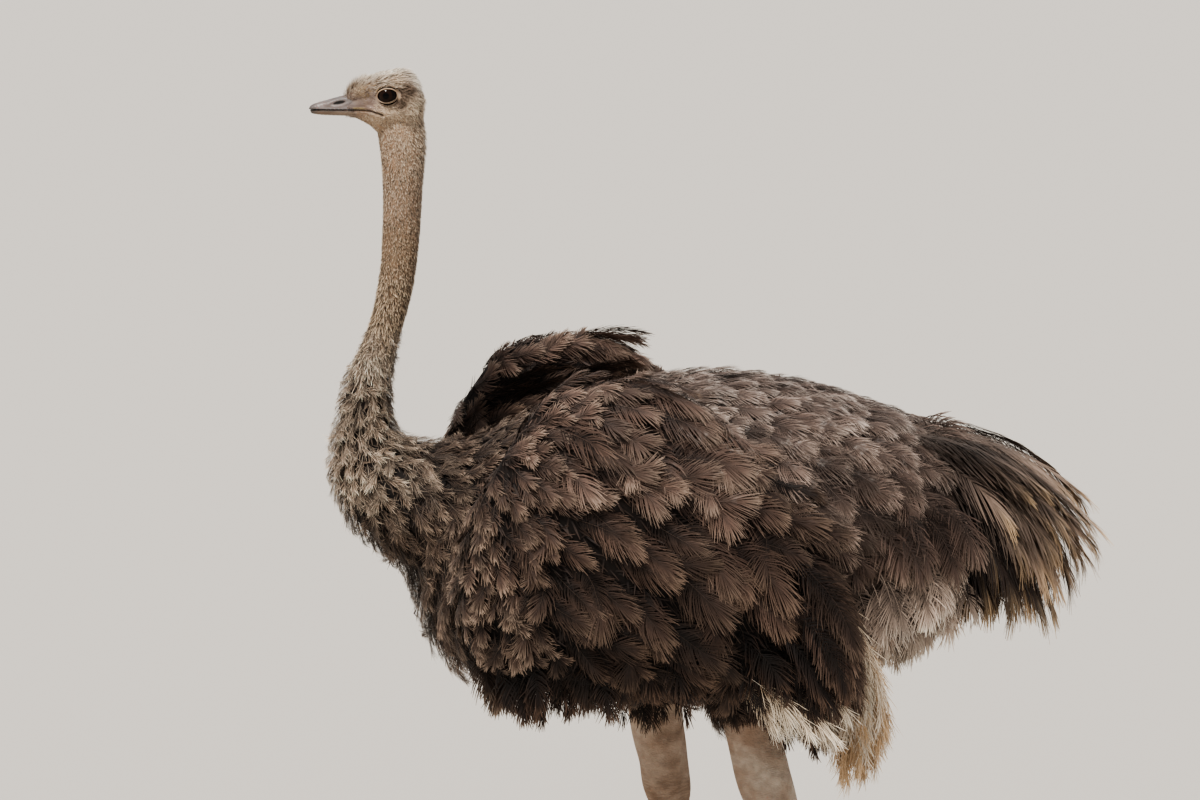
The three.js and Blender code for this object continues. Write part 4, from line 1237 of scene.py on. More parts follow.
def growBarbs(strips, shaft, facing, sizes, tones, bake, look, rng):
    # barbs leave both sides of the shaft, bend to the tip and gather in wisps
    count, steps = shaft.shape[:2]
    points = look["points"]
    tangent = unit(np.gradient(shaft, axis=1))
    beside = unit(np.cross(facing, tangent))
    each = np.clip(np.round(look["barbs"] / 2 * sizes[:, 0] / look["at"]), 6, 80).astype(int)
    plume = np.repeat(np.arange(count), each * 2)
    total = len(plume)
    order = np.arange(total) - np.repeat(np.cumsum(each * 2) - each * 2, each * 2)
    each = each[plume]
    side = np.where(order < each, -1.0, 1.0)
    rank = order % each
    first = look["bare"]
    t = first + (1 - first) * ((rank + rng.uniform(0.1, 0.9, total)) / each) ** look["crowd"]
    swell = look["swell"]
    outline = swell + (1 - swell) * np.sin(math.pi * np.clip(t, 0, 1) ** 1.1)
    outline = outline * (1 - look["blunt"] * smooth(0.8, 1.0, t))
    barb = sizes[plume, 1] * outline * rng.uniform(*barbForm["lengths"], total) * look["reach"]
    wave = rng.uniform(0, barbForm["turn"], count)[plume]
    tipAngle = np.maximum(look["openTip"] + rng.normal(0, look["tipSpread"], count), 4)[plume]
    openBase = np.radians(mix(look["open"], tipAngle, smooth(look["turnIn"], 1.0, t)))
    ripple = 1 + barbForm["ripple"] * np.sin(t * barbForm["ripples"] + wave + side)
    openBase = openBase * ripple + rng.normal(0, barbForm["baseStray"], total)
    openTip = openBase * look["close"] + rng.normal(0, barbForm["tipStray"], total)
    u = np.linspace(0, 1, points)
    middle = (u[1:] + u[:-1]) / 2
    angle = mix(openBase[:, None], openTip[:, None], middle[None])
    start, step = np.zeros((total, 1)), (barb / (points - 1))[:, None]
    along = np.concatenate([start, np.cumsum(np.cos(angle), 1)], 1) * step
    aside = np.concatenate([start, np.cumsum(np.sin(angle), 1)], 1) * step
    length = sizes[plume, 0][:, None]
    reach = t[:, None] + along / length
    # wisps: neighbours draw together towards their ends
    wisp = plume * 256 + (side > 0) * 128 + (rank + rng.integers(0, 3, count)[plume]) // look["wisp"]
    pull = look["gather"] * u**1.4
    number = np.bincount(wisp, minlength=wisp.max() + 1)
    for k in range(1, points):
        for value in (reach, aside):
            mean = np.bincount(wisp, value[:, k], wisp.max() + 1) / np.maximum(number, 1)
            value[:, k] = mix(value[:, k], mean[wisp], pull[k])
    f = np.clip(reach, 0, 1) * (steps - 1)
    i = np.minimum(f.astype(int), steps - 2)
    f = (f - i)[:, :, None]
    rows = plume[:, None]
    base = mix(shaft[rows, i], shaft[rows, i + 1], f)
    forward = unit(mix(tangent[rows, i], tangent[rows, i + 1], f))
    outward = unit(mix(facing[rows, i], facing[rows, i + 1], f))
    sideways = unit(mix(beside[rows, i], beside[rows, i + 1], f))
    past = np.maximum(reach - 1, 0) * length
    width = (sizes[plume, 1] * 1.1)[:, None]
    cup = look["cup"] * aside**2 / width + look["tuck"] * past**2 / width
    roll = rng.normal(0, look["roll"], count)[plume][:, None]
    cup = cup * rng.uniform(*barbForm["cups"], count)[plume][:, None]
    lift = roll * aside * side[:, None] - cup + rng.normal(0, barbForm["liftStray"], (total, 1)) * u
    place = base + forward * past[:, :, None] + sideways * (aside * side[:, None])[:, :, None]
    place = place + outward * lift[:, :, None]
    fall = -up - outward * (outward @ -up)[:, :, None]
    fall = fall * (look["sag"] * rng.uniform(*barbForm["falls"], count))[plume][:, None, None]
    place = place + fall * (barb[:, None] * u**2)[:, :, None]
    place = place + rng.normal(0, look["frizz"], (total, 1, 3)) * (u**2)[None, :, None]
    run = unit(np.gradient(place, axis=1))
    across = unit(np.cross(outward, run))
    tilt = rng.normal(0, look["tilt"], (total, 1, 1))
    across = unit(across + outward * tilt)
    thick = look["thick"] * barbForm["taper"][np.linspace(0, 4, points).astype(int)]
    thick = thick[None] * rng.uniform(0.8, 1.2, (total, 1))
    tone = tones[plume]
    shade = rng.normal(1, look["mottle"], count)[plume] * rng.normal(1, 0.11, total)
    # dark near the root and pale at the tip: partly painted shade among the overlapping plumes and painted
    # highlight on the rims, partly real pale fringes
    reachTone = u[None] * look["outward"]
    reachTone = np.clip(reachTone + (t[:, None] - look["midway"]) * look["along"], 0, 1)
    color = mix(tone[:, 0][:, None], tone[:, 1][:, None], smooth(0.0, 0.45, reachTone)[:, :, None])
    color = mix(color, tone[:, 2][:, None], (0.9 * smooth(0.45, 1.05, reachTone) ** 1.3)[:, :, None])
    color = np.clip(color * np.clip(shade, 0.5, 1.6)[:, None, None], 0, 1)
    patch = np.stack([aside * side[:, None] / width * bakePatch["wide"], reach * bakePatch["high"]], -1)
    strips.add(place, across, thick, color, bake[plume][:, None] + patch)
    # the shafts themselves
    cuts = barbForm["stalkPoints"]
    k = np.linspace(0, steps - 1, cuts).astype(int)
    even = np.ones((count, 1))
    stalk = shaft[:, k] + facing[:, k] * barbForm["stalkLift"]
    stalkWidth = look["stalk"] * np.linspace(1, 0.35, cuts)[None] * even
    stalkTone = mix(tones[:, 1], tones[:, 2], look["stalkTone"])
    # the shafts are darker towards the root, as painted shade among the plumes
    stalkTone = stalkTone[:, None] * np.linspace(0.55, 1.0, cuts)[None, :, None]
    patch = np.stack([np.zeros((count, cuts)), np.linspace(0, bakePatch["high"], cuts)[None] * even], -1)
    strips.add(stalk, beside[:, k], stalkWidth, stalkTone, bake[:, None] + patch)


stripForm = {"bakeSide": 0.00012}


def stripTree(material):
    # turns each run of points into a flat strip as wide as its attribute says
    writer, entry, scaleSocket = startTree("featherBarbs", "Barb Width")
    add, read = writer.add, writer.read
    runs = add("GeometryNodeMeshToCurve", {0: entry["Points"]}).outputs[0]
    inputs = {0: runs, "Normal": read("barbAcross", "FLOAT_VECTOR")}
    facing = add("GeometryNodeSetCurveNormal", inputs, mode="FREE").outputs[0]
    inputs = {0: read("barbWidth", "FLOAT"), 1: entry["Barb Width"]}
    width = add("ShaderNodeMath", inputs, operation="MULTIPLY").outputs[0]
    section = add("GeometryNodeCurvePrimitiveLine", {"Start": (-0.5, 0, 0), "End": (0.5, 0, 0)}).outputs[0]
    inputs = {0: section, "Name": "stripSide", "Value": add("GeometryNodeInputIndex").outputs[0]}
    edge = add("GeometryNodeStoreNamedAttribute", inputs, data_type="FLOAT", domain="POINT").outputs[0]
    inputs = {"Curve": facing, "Profile Curve": edge, "Scale": width}
    strips = add("GeometryNodeCurveToMesh", inputs).outputs[0]
    sideways = add("ShaderNodeCombineXYZ", {"X": read("stripSide", "FLOAT")}).outputs[0]
    inputs = {0: sideways, 1: (stripForm["bakeSide"], 0, 0), 2: read("bakeAt", "FLOAT_VECTOR")}
    bakePlace = add("ShaderNodeVectorMath", inputs, operation="MULTIPLY_ADD").outputs[0]
    inputs = {0: strips, "Name": "OFBake", "Value": bakePlace}
    unwrap = add("GeometryNodeStoreNamedAttribute", inputs, data_type="FLOAT2", domain="CORNER").outputs[0]
    return endTree(writer, unwrap, material), scaleSocket


def barbMaterial():
    finish = Finish("plumageBarbs")
    fine = finish.noise(420, 3)
    broad = finish.noise(9, 3)
    tone = finish.attribute("barbColor")
    tone = finish.darker(finish.band(broad, 0.35, 0.7), tone, (0.82, 0.8, 0.8))
    tone = finish.darker(finish.times(finish.band(fine, 0.3, 0.75), 0.35), tone, (0.55, 0.5, 0.48))
    split = finish.axes()
    onBack = finish.times(finish.band(split["Z"], 1.13, 1.24), finish.band(split["X"], -0.12, 0.04))
    onBack = finish.times(onBack, finish.band(split["X"], 0.42, 0.25))
    dust = finish.times(finish.band(finish.noise(30, 5, 0.65), 0.55, 0.7), onBack)
    tone = finish.blend(finish.times(dust, 0.3), tone, (0.52, 0.48, 0.45))
    return finish.close(Base_Color=tone, Roughness=0.66, Specular_IOR_Level=0.24, Sheen_Weight=0.08,
                        Sheen_Roughness=0.5, Sheen_Tint=(1.0, 0.93, 0.86, 1))


barbFinish = barbMaterial()
barbTree, barbWidthSocket = stripTree(barbFinish)


def makeStrips(name, strips):
    thing = newThing(name, strips.mesh(name))
    growTree(thing, barbTree, barbWidthSocket)
    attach(thing, "root")
    print(name, len(thing.data.polygons) * 2, "triangles")
    return thing


def unwrapAround(points, axis, centre):
    # how far along the axis and how far round it, filling the map
    keep = [i for i in range(3) if i != axis]
    p = points - np.asarray(centre)
    turn = np.arctan2(p[:, keep[0]], p[:, keep[1]]) / (2 * math.pi) + 0.5
    along = points[:, axis]
    along = (along - along.min()) / max(np.ptp(along), 1e-6)
    return 0.01 + 0.97 * np.stack([turn, along], 1)


def plumeCoat(name, keep, look, rng, axis=0, centre=(0, 0, 1.03)):
    guides = Guides(look["guides"], leans=look["guides"] is wingGuides)
    points, normals, area = samplePoints(skin.data, keep, 24000, rng)
    kept = thinOut(points, guides.sizesAt(points)[:, 0] * look["spacing"])
    roots, normals = points[kept], normals[kept]
    sizes = guides.sizesAt(roots) * [1, look["broad"], 1]
    sizes = sizes * rng.uniform(0.74, 1.2, (len(roots), 1))
    shaft, facing = growShafts(skinTree, roots, normals, guides.flowAt, sizes, look, rng)
    strips = Strips()
    bake = unwrapAround(roots, axis, centre)
    growBarbs(strips, shaft, facing, sizes, guides.tonesAt(roots), bake, look, rng)
    print(name, len(roots), "plumes on", round(float(area), 3), "m2")
    return makeStrips(name, strips)


skinTree = treeOf(skin)


def onWing(side):
    way = stances[side]["side"]

    def keep(points, normals):
        near = np.zeros(len(points))
        box = (points[:, 1] * way > 0.17) & (points[:, 2] > 0.84)
        for i in np.nonzero(box)[0]:
            found = wingTree[side].find_nearest(Vector(points[i]))
            near[i] = found[3] < 0.0008
        return near
    return keep


def onBody(test):
    def keep(points, normals):
        wings = sum(onWing(side)(points, normals) for side in stances)
        return (wings < 0.5) & test(points, normals)
    return keep


bareGuides = [
    # place on the bare or bristly parts, colour of the skin there
    ((-0.636, 0.018, 1.822), (0.6, 0.53, 0.49)), ((-0.622, 0.02, 1.834), (0.66, 0.58, 0.5)),
    ((-0.6, 0.01, 1.848), (0.66, 0.59, 0.51)), ((-0.56, 0.0, 1.86), (0.66, 0.59, 0.51)),
    ((-0.52, 0.01, 1.845), (0.58, 0.5, 0.42)), ((-0.628, 0.024, 1.806), (0.46, 0.42, 0.42)),
    ((-0.612, 0.028, 1.808), (0.44, 0.395, 0.39)), ((-0.597, 0.032, 1.812), (0.44, 0.385, 0.37)),
    ((-0.622, 0.024, 1.817), (0.66, 0.58, 0.5)), ((-0.606, 0.029, 1.822), (0.78, 0.67, 0.48)),
    ((-0.594, 0.032, 1.832), (0.74, 0.64, 0.5)), ((-0.59, 0.035, 1.799), (0.6, 0.52, 0.49)),
    ((-0.56, 0.037, 1.789), (0.76, 0.67, 0.57)), ((-0.585, 0.03, 1.778), (0.76, 0.66, 0.55)),
    ((-0.61, 0.025, 1.782), (0.7, 0.59, 0.49)), ((-0.528, 0.035, 1.8), (0.72, 0.62, 0.53)),
    ((-0.52, 0.03, 1.825), (0.62, 0.53, 0.45)), ((-0.545, 0.034, 1.765), (0.72, 0.61, 0.5)),
    ((-0.56, 0.03, 1.74), (0.66, 0.56, 0.47)), ((-0.545, 0.03, 1.65), (0.62, 0.52, 0.43)),
    ((-0.555, 0.03, 1.55), (0.58, 0.48, 0.39)), ((-0.575, 0.03, 1.44), (0.5, 0.41, 0.33)),
    ((-0.6, 0.04, 1.36), (0.42, 0.33, 0.26)),
    ((0.06, 0.122, 0.8), (0.68, 0.61, 0.55)), ((-0.1, 0.122, 0.7), (0.66, 0.58, 0.51)),
    ((0.11, 0.122, 0.6), (0.68, 0.62, 0.56)), ((0.0, 0.122, 0.44), (0.6, 0.52, 0.45)),
    ((0.0, 0.122, 0.25), (0.64, 0.55, 0.46)), ((0.0, 0.122, 0.08), (0.56, 0.48, 0.4)),
    ((-0.08, 0.122, 0.03), (0.5, 0.43, 0.36)),
]


def nearLeg(points, reach=0.078):
    near = np.zeros(len(points), bool)
    for stance in stances.values():
        middle = legLine(stance, points[:, 2])
        apart = np.hypot(points[:, 0] - middle, points[:, 1] - stance["side"] * legForm["spread"])
        near |= (apart < reach) & (points[:, 2] < 0.8)
    return near


def toneOfBare(points):
    place = np.array([row[0] for row in bareGuides])
    color = linear([row[1] for row in bareGuides])
    away = ((bothSides(points)[:, None] - place[None]) ** 2).sum(2)
    # the legs' guides speak for the legs alone
    leg = (place[:, 2] < 1.0)[None] != (points[:, 2] < 0.8)[:, None]
    weight = 1 / (away + 0.01**2 + leg * 9.0) ** 2
    return weight @ color / weight.sum(1, keepdims=True)


faceLines = [
    # lips, the brow's painted shade line and the line over the lips, each with its width
    ([(-0.625, 1.7963), (-0.612, 1.7966), (-0.606, 1.7962)], 0.0014),
    ([(-0.623, 1.8122), (-0.5953, 1.815), (-0.5835, 1.8235)], 0.0019),
    ([(-0.634, 1.8), (-0.612, 1.8006), (-0.592, 1.7975), (-0.576, 1.7905)], 0.0012),
]


def markSkin():
    points = pointsOf(skin.data)
    bare = toneOfBare(points)
    # the skin under the coat takes the plumes' dark root colours, darkened more: painted shade that makes the
    # gaps between plumes look deep
    paintedShadeUnderCoat = 0.8 * Guides(bodyGuides + wingGuides).tonesAt(points)[:, 0]
    onNeck = smooth(1.3, 1.4, points[:, 2]) * (points[:, 0] < -0.48)
    share = np.maximum(onNeck, nearLeg(points) | (points[:, 2] < 0.62))
    color = mix(paintedShadeUnderCoat, bare, share[:, None])
    # the lid's pale rim, its dark edge and painted shade in the crease above it, stronger over the upper lid
    dx = (points[:, 0] - eyeForm["x"]) / lidForm["halfLong"]
    dz = (points[:, 2] - eyeForm["z"]) / lidForm["halfHigh"]
    ring = np.sqrt(dx**2 + dz**2)
    onHead = (points[:, 2] > 1.77) & (np.abs(points[:, 1]) > 0.018)
    above = smooth(-0.1, 0.5, dz)
    pale = smooth(1.04, 1.1, ring) * (1 - smooth(1.26, 1.36, ring)) * onHead
    edge = np.exp(-(((ring - 0.985) / 0.05) ** 2)) * onHead
    lidCreaseShade = np.exp(-(((ring - 1.56) / 0.085) ** 2)) * onHead * (0.35 + 0.65 * above)
    color = mix(color, linear((0.72, 0.63, 0.55)), 0.75 * pale[:, None])
    color = mix(color, linear((0.24, 0.18, 0.15)), np.clip(0.75 * lidCreaseShade, 0, 1)[:, None])
    color = mix(color, linear((0.07, 0.05, 0.045)), np.clip(0.95 * edge, 0, 1)[:, None])
    # dark behind the eye, and painted shade in the ear opening
    behind = alongLine(points, [(-0.541, 1.826), (-0.528, 1.829)], 0.0045, 0.7) * onHead
    ear = alongLine(points, [(-0.548, 1.808), (-0.54, 1.802)], 0.006, 0.8) * onHead
    color = mix(color, linear((0.26, 0.2, 0.17)), np.clip(behind + ear, 0, 0.85)[:, None])
    # the gape's dark line, painted shade in the slit between the lips, with a pale one over it, painted shade
    # under the brow and a dark line above the lips
    gape = alongLine(points, gapeLine, 0.0021, 1.0) * (points[:, 2] > 1.77) * (points[:, 0] < -0.57)
    lips, brow, over = (alongLine(points, line, width, 1.0) * onHead for line, width in faceLines)
    color = mix(color, linear((0.3, 0.24, 0.24)), np.clip(0.6 * over, 0, 1)[:, None])
    color = mix(color, linear((0.3, 0.25, 0.23)), (0.55 * brow)[:, None])
    color = mix(color, linear((0.8, 0.73, 0.52)), (0.7 * lips)[:, None])
    color = mix(color, linear((0.07, 0.05, 0.045)), (0.95 * gape)[:, None])
    setTone(skin.data, "skinTone", color)


def skinMaterial():
    finish = Finish("bareSkin")
    tone = finish.attribute("skinTone")
    split = finish.axes()
    legs = finish.band(split["Z"], 0.82, 0.74)
    blotch = finish.noise(16, 5)
    pores = finish.noise(900, 3)
    lines = finish.noise(60, 4, stretch=(1.0, 1.0, 4.0))
    grain = finish.noise(70, 4, 0.6)
    plates = finish.cells(210, stretch=(1.0, 1.0, 2.4))
    tone = finish.darker(finish.band(blotch, 0.4, 0.68), tone, (0.72, 0.66, 0.62))
    dusty = finish.times(finish.band(finish.noise(34, 5), 0.56, 0.76), finish.times(legs, 0.35))
    tone = finish.blend(dusty, tone, (0.62, 0.52, 0.42))
    rust = finish.times(finish.times(finish.band(finish.noise(11, 4), 0.5, 0.68), legs), 0.42)
    tone = finish.blend(rust, tone, (0.26, 0.155, 0.095))
    shank = finish.times(finish.band(split["Z"], 0.52, 0.6), legs)
    lower = finish.minus(legs, finish.times(shank, 0.85))
    # painted shade in the crease valleys on the lower leg, where the same noise sinks the bump
    creases = finish.times(finish.band(lines, 0.56, 0.44), lower)
    tone = finish.darker(finish.times(creases, 0.35), tone, (0.42, 0.36, 0.33))
    worn = finish.times(finish.band(grain, 0.42, 0.62), finish.times(shank, 0.3))
    tone = finish.darker(worn, tone, (0.5, 0.46, 0.44))
    height = finish.plus(finish.times(pores, 0.35), finish.times(lines, 0.3))
    height = finish.plus(height, finish.times(finish.times(plates, legs), 0.9))
    return finish.close(Base_Color=tone, Roughness=0.74, Normal=finish.bump(height, 0.0012, 0.6),
                        Subsurface_Weight=0.05, Specular_IOR_Level=0.22)


markSkin()
skin.data.materials.clear()
skin.data.materials.append(skinMaterial())


def isNeckBase(p, n):
    return (p[:, 0] < -0.47) & (p[:, 2] > 0.9) & (p[:, 2] < 1.415)


def isRump(p, n):
    return (p[:, 2] > 0.8) & (p[:, 0] > 0.08) & (p[:, 2] < 1.02 + 0.62 * (0.55 - p[:, 0]))


def isBack(p, n):
    return (p[:, 2] > 0.8) & ((p[:, 0] > 0.08) | (p[:, 2] > 1.19)) & (p[:, 0] > -0.47) & ~isRump(p, n)


def isBreast(p, n):
    high = (p[:, 2] > 0.69) & (p[:, 2] < 1.3) & (p[:, 0] > -0.6)
    return high & ~nearLeg(p) & ~isNeckBase(p, n) & ~isBack(p, n) & ~isRump(p, n)


rng = np.random.default_rng(7)
for side in stances:
    way = stances[side]["side"]
    plumeCoat("wingPlumes_" + side, onWing(side), coatPieces["wing"], rng, 2, (-0.15, way * 0.26, 0))
plumeCoat("backPlumes", onBody(isBack), coatPieces["back"], rng)
plumeCoat("rumpPlumes", onBody(isRump), coatPieces["rump"], rng)
plumeCoat("breastPlumes", onBody(isBreast), coatPieces["breast"], rng)
plumeCoat("neckBasePlumes", onBody(isNeckBase), coatPieces["neckBase"], rng, 2, (-0.6, 0, 0))


# long plumes that hang free: the tail's fan, the pale flight plumes and the fringe over the legs

tailTiers = [
    # x, z, pitch at the root and at the tip (below level), length, half width, fan to each side, number, tone
    (0.335, 1.236, 5, 47, 0.365, 0.036, 20, 26, "tailTop"),
    (0.345, 1.224, 6, 54, 0.38, 0.042, 28, 28, "tailTop"),
    (0.358, 1.206, 8, 63, 0.375, 0.05, 42, 30, "tailTop"),
    (0.37, 1.184, 10, 72, 0.345, 0.054, 54, 26, "tailMid"),
    (0.382, 1.152, 14, 80, 0.275, 0.052, 62, 24, "tailDark"),
    (0.395, 1.112, 24, 84, 0.185, 0.048, 62, 20, "tailDark"),
    (0.405, 1.075, 40, 88, 0.11, 0.042, 56, 14, "tailDark"),
]
flightRows = [
    # x, distance to the side, z, pitch at root and tip, heading, length, half width, number, spread, tone
    (0.045, 0.296, 0.858, 30, 56, 4, 0.112, 0.026, 16, 0.026, "cream"),
    (0.1, 0.292, 0.858, 34, 58, 4, 0.116, 0.026, 16, 0.026, "cream"),
    (0.165, 0.24, 0.925, 60, 92, -2, 0.25, 0.03, 20, 0.026, "tan"),
    (0.19, 0.228, 0.94, 62, 94, -2, 0.25, 0.03, 18, 0.02, "tan"),
    (0.19, 0.255, 0.995, 62, 94, -2, 0.265, 0.028, 16, 0.018, "cream"),
]
fringeRows = [
    (-0.385, 0.265, 0.895, 72, 86, 0, 0.08, 0.024, 14, 0.034, "breast"),
    (-0.32, 0.285, 0.885, 68, 84, 0, 0.08, 0.026, 14, 0.036, "wingLow"),
    (-0.25, 0.3, 0.895, 62, 80, 0, 0.08, 0.028, 14, 0.036, "wingLow"),
    (-0.17, 0.305, 0.9, 58, 80, 0, 0.07, 0.028, 14, 0.04, "wingLow"),
    (-0.09, 0.31, 0.912, 52, 76, 0, 0.07, 0.03, 14, 0.04, "wingLow"),
    (-0.01, 0.31, 0.915, 48, 70, 2, 0.07, 0.03, 14, 0.036, "wingLow"),
    (0.05, 0.31, 0.915, 46, 68, 2, 0.085, 0.032, 14, 0.034, "wingLow"),
    (0.105, 0.305, 0.925, 46, 70, 2, 0.125, 0.034, 14, 0.03, "wingLow"),
    (0.13, 0.295, 0.96, 50, 76, 2, 0.165, 0.034, 14, 0.028, "wingLow"),
    (0.14, 0.29, 1.01, 48, 76, 2, 0.175, 0.034, 12, 0.028, "wing"),
    (0.125, 0.285, 1.07, 44, 70, 2, 0.175, 0.034, 12, 0.028, "wing"),
    (0.14, 0.265, 0.85, 54, 84, 0, 0.125, 0.024, 12, 0.018, "wingLow"),
    (0.105, 0.3, 0.86, 48, 78, 0, 0.09, 0.026, 10, 0.024, "wingLow"),
    (-0.01, 0.18, 0.82, 44, 76, 0, 0.07, 0.026, 14, 0.04, "wingLow"),
    (0.07, 0.17, 0.82, 46, 76, 0, 0.08, 0.026, 14, 0.04, "wingLow"),
    (-0.14, 0.14, 0.8, 50, 80, 0, 0.065, 0.024, 12, 0.045, "wingLow"),
    (0.36, 0.176, 1.12, 44, 80, 4, 0.1, 0.032, 10, 0.034, "rump"),
    (0.3, 0.212, 1.105, 48, 82, 4, 0.095, 0.032, 10, 0.034, "rump"),
    (0.33, 0.19, 1.065, 52, 86, 2, 0.095, 0.03, 12, 0.034, "rumpLowPaintedLight"),
    (0.372, 0.152, 1.065, 54, 88, 2, 0.1, 0.032, 14, 0.028, "rumpLowPaintedLight"),
    (0.375, 0.16, 1.015, 62, 92, 0, 0.085, 0.032, 14, 0.028, "rumpLowPaintedLight"),
    (0.33, 0.19, 1.02, 56, 86, 0, 0.09, 0.034, 14, 0.034, "rumpLowPaintedLight"),
    (0.27, 0.215, 1.01, 60, 86, 0, 0.09, 0.034, 12, 0.03, "rumpLowPaintedLight"),
    (0.23, 0.205, 0.96, 60, 84, 0, 0.085, 0.028, 12, 0.03, "rumpEdge"),
    (0.29, 0.19, 0.96, 60, 84, 0, 0.078, 0.028, 16, 0.03, "rumpEdge"),
    (0.34, 0.165, 0.965, 60, 84, 0, 0.072, 0.028, 16, 0.03, "rumpEdge"),
    (0.375, 0.135, 0.975, 62, 88, 0, 0.062, 0.026, 14, 0.024, "rumpEdge"),
    (0.3, 0.09, 0.905, 54, 84, 0, 0.06, 0.024, 12, 0.034, "rumpEdge"),
    (0.39, 0.09, 1.0, 60, 88, 0, 0.07, 0.026, 10, 0.024, "rump"),
    # over the root of the tail
    (0.345, 0.016, 1.236, 12, 36, 0, 0.085, 0.028, 5, 0.026, "back"),
    (0.35, 0.056, 1.222, 16, 42, 2, 0.095, 0.03, 9, 0.026, "back"),
    (0.358, 0.094, 1.192, 26, 54, 3, 0.1, 0.032, 9, 0.026, "backLow"),
    (0.364, 0.128, 1.152, 38, 66, 4, 0.1, 0.032, 8, 0.026, "backLow"),
    # over a thin place on the wing
    (-0.262, 0.316, 1.293, 16, 38, 2, 0.115, 0.034, 5, 0.016, "wingTop"),
]
ridgeRows = [
    (-0.345, 0.256, 1.246, -38, 6, 0, 0.085, 0.026, 10, 0.014, "wingTop"),
    (-0.3, 0.25, 1.294, -24, 20, 0, 0.105, 0.028, 12, 0.018, "wing"),
    (-0.235, 0.243, 1.326, -8, 28, 0, 0.115, 0.03, 12, 0.02, "wing"),
    (-0.165, 0.236, 1.338, 0, 34, 0, 0.115, 0.03, 10, 0.02, "wing"),
]
crestRows = [
    (-0.38, 0.212, 1.15, -54, -22, -4, 0.11, 0.026, 7, 0.018, "wingDark"),
    (-0.345, 0.222, 1.222, -40, 4, -2, 0.12, 0.028, 11, 0.018, "wing"),
    (-0.3, 0.23, 1.28, -34, 8, 0, 0.13, 0.028, 12, 0.022, "wingTop"),
    (-0.24, 0.232, 1.315, -24, 14, 0, 0.14, 0.03, 12, 0.024, "wing"),
    (-0.17, 0.23, 1.33, -16, 20, 0, 0.14, 0.03, 12, 0.024, "wingTop"),
    (-0.29, 0.195, 1.23, -40, 0, -2, 0.14, 0.024, 9, 0.03, "wingDark"),
    (-0.2, 0.195, 1.27, -28, 8, -2, 0.15, 0.026, 9, 0.03, "wing"),
]


def arcShafts(root, heading, roll, pitchStart, pitchEnd, length, steps=10):
    # shafts that leave level or falling and bend down as they go
    t = np.linspace(0, 1, steps)
    pitch = pitchStart[:, None] + (pitchEnd - pitchStart)[:, None] * t[None] ** 1.05
    ahead = np.stack([np.cos(heading), np.sin(heading), 0 * heading], 1)[:, None]
    run = ahead * np.cos(pitch)[:, :, None] - up * np.sin(pitch)[:, :, None]
    step = (length / (steps - 1))[:, None, None]
    middle = (run[:, 1:] + run[:, :-1]) / 2
    shaft = root[:, None] + np.concatenate([0 * middle[:, :1], np.cumsum(middle, 1)], 1) * step
    facing = ahead * np.sin(pitch)[:, :, None] + up * np.cos(pitch)[:, :, None]
    sideways = np.cross(facing, run)
    roll = roll[:, None, None]
    return shaft, facing * np.cos(roll) - sideways * np.sin(roll)


# side plumes are shorter, rooted a little further forward and lower, and darker
tailForm = {"half": 0.085, "shorter": 0.36, "forward": 0.02, "drop": 0.06, "shaded": 0.75, "topShaded": 0.5}


def tailCoat(rng):
    look = coatPieces["tail"]
    strips = Strips()
    for x, z, pitchStart, pitchEnd, length, half, fan, number, tone in tailTiers:
        turn = np.radians(np.linspace(-fan, fan, number) + rng.normal(0, 5, number))
        widest = math.radians(fan)
        shorter = 1 - tailForm["shorter"] * (turn / widest) ** 2
        ahead = np.full(number, x) - tailForm["forward"] * np.abs(np.sin(turn))
        sideways = tailForm["half"] * np.sin(turn) / math.sin(widest)
        high = z - tailForm["drop"] * np.sin(turn) ** 2 + rng.normal(0, 0.008, number)
        root = np.stack([ahead, sideways, high], 1)
        grow = rng.uniform(0.88, 1.06, number) * shorter
        shaft, facing = arcShafts(root, turn * 0.62, -turn * 0.75 + rng.normal(0, 0.14, number),
                                  np.radians(pitchStart + 14 * np.sin(turn) ** 2 + rng.normal(0, 5, number)),
                                  np.radians(pitchEnd + rng.normal(0, 5, number)), length * grow)
        sizes = np.stack([length * grow, np.full(number, half), np.zeros(number)], 1)
        toSide = smooth(0.25, 0.8, np.abs(turn) / widest)[:, None, None]
        shaded = tailForm["topShaded"] if tone == "tailTop" else tailForm["shaded"]
        tones = mix(linear([palette[tone]]), linear([palette["tailDark"]]), shaded * toSide)
        tones[:, 2] = linear(palette["tailTip"][2])
        bake = unwrapAround(root, 0, (0, 0, 1.1))
        growBarbs(strips, shaft, facing, sizes, tones, bake, look, rng)
    return makeStrips("tailPlumes", strips)


def hangingCoat(name, rows, side, look, rng):
    strips = Strips()
    way = stances[side]["side"]
    for x, y, z, pitchStart, pitchEnd, turn, length, half, number, spread, tone in rows:
        root = np.array([x - leanAt(side, z), way * y, z])
        root = root + rng.normal(0, 1, (number, 3)) * [spread * 0.6, 0.014, 0.012]
        grow = rng.uniform(0.82, 1.12, number)
        shaft, facing = arcShafts(root, np.radians(turn + rng.normal(0, 7, number)) * way,
                                  -way * np.radians(rng.normal(look["face"], 12, number)),
                                  np.radians(rng.normal(pitchStart, 6, number)),
                                  np.radians(rng.normal(pitchEnd, 6, number)), length * grow)
        sizes = np.stack([length * grow, np.full(number, half), np.zeros(number)], 1)
        tones = np.repeat(linear([palette[tone]]), number, 0)
        bake = unwrapAround(root, 2, (x, way * 0.2, 0))
        growBarbs(strips, shaft, facing, sizes, tones, bake, look, rng)
    return makeStrips(name, strips)


underDown = {"count": 14000, "length": 0.026, "rise": 0.008, "width": 0.0036, "shade": 0.9}


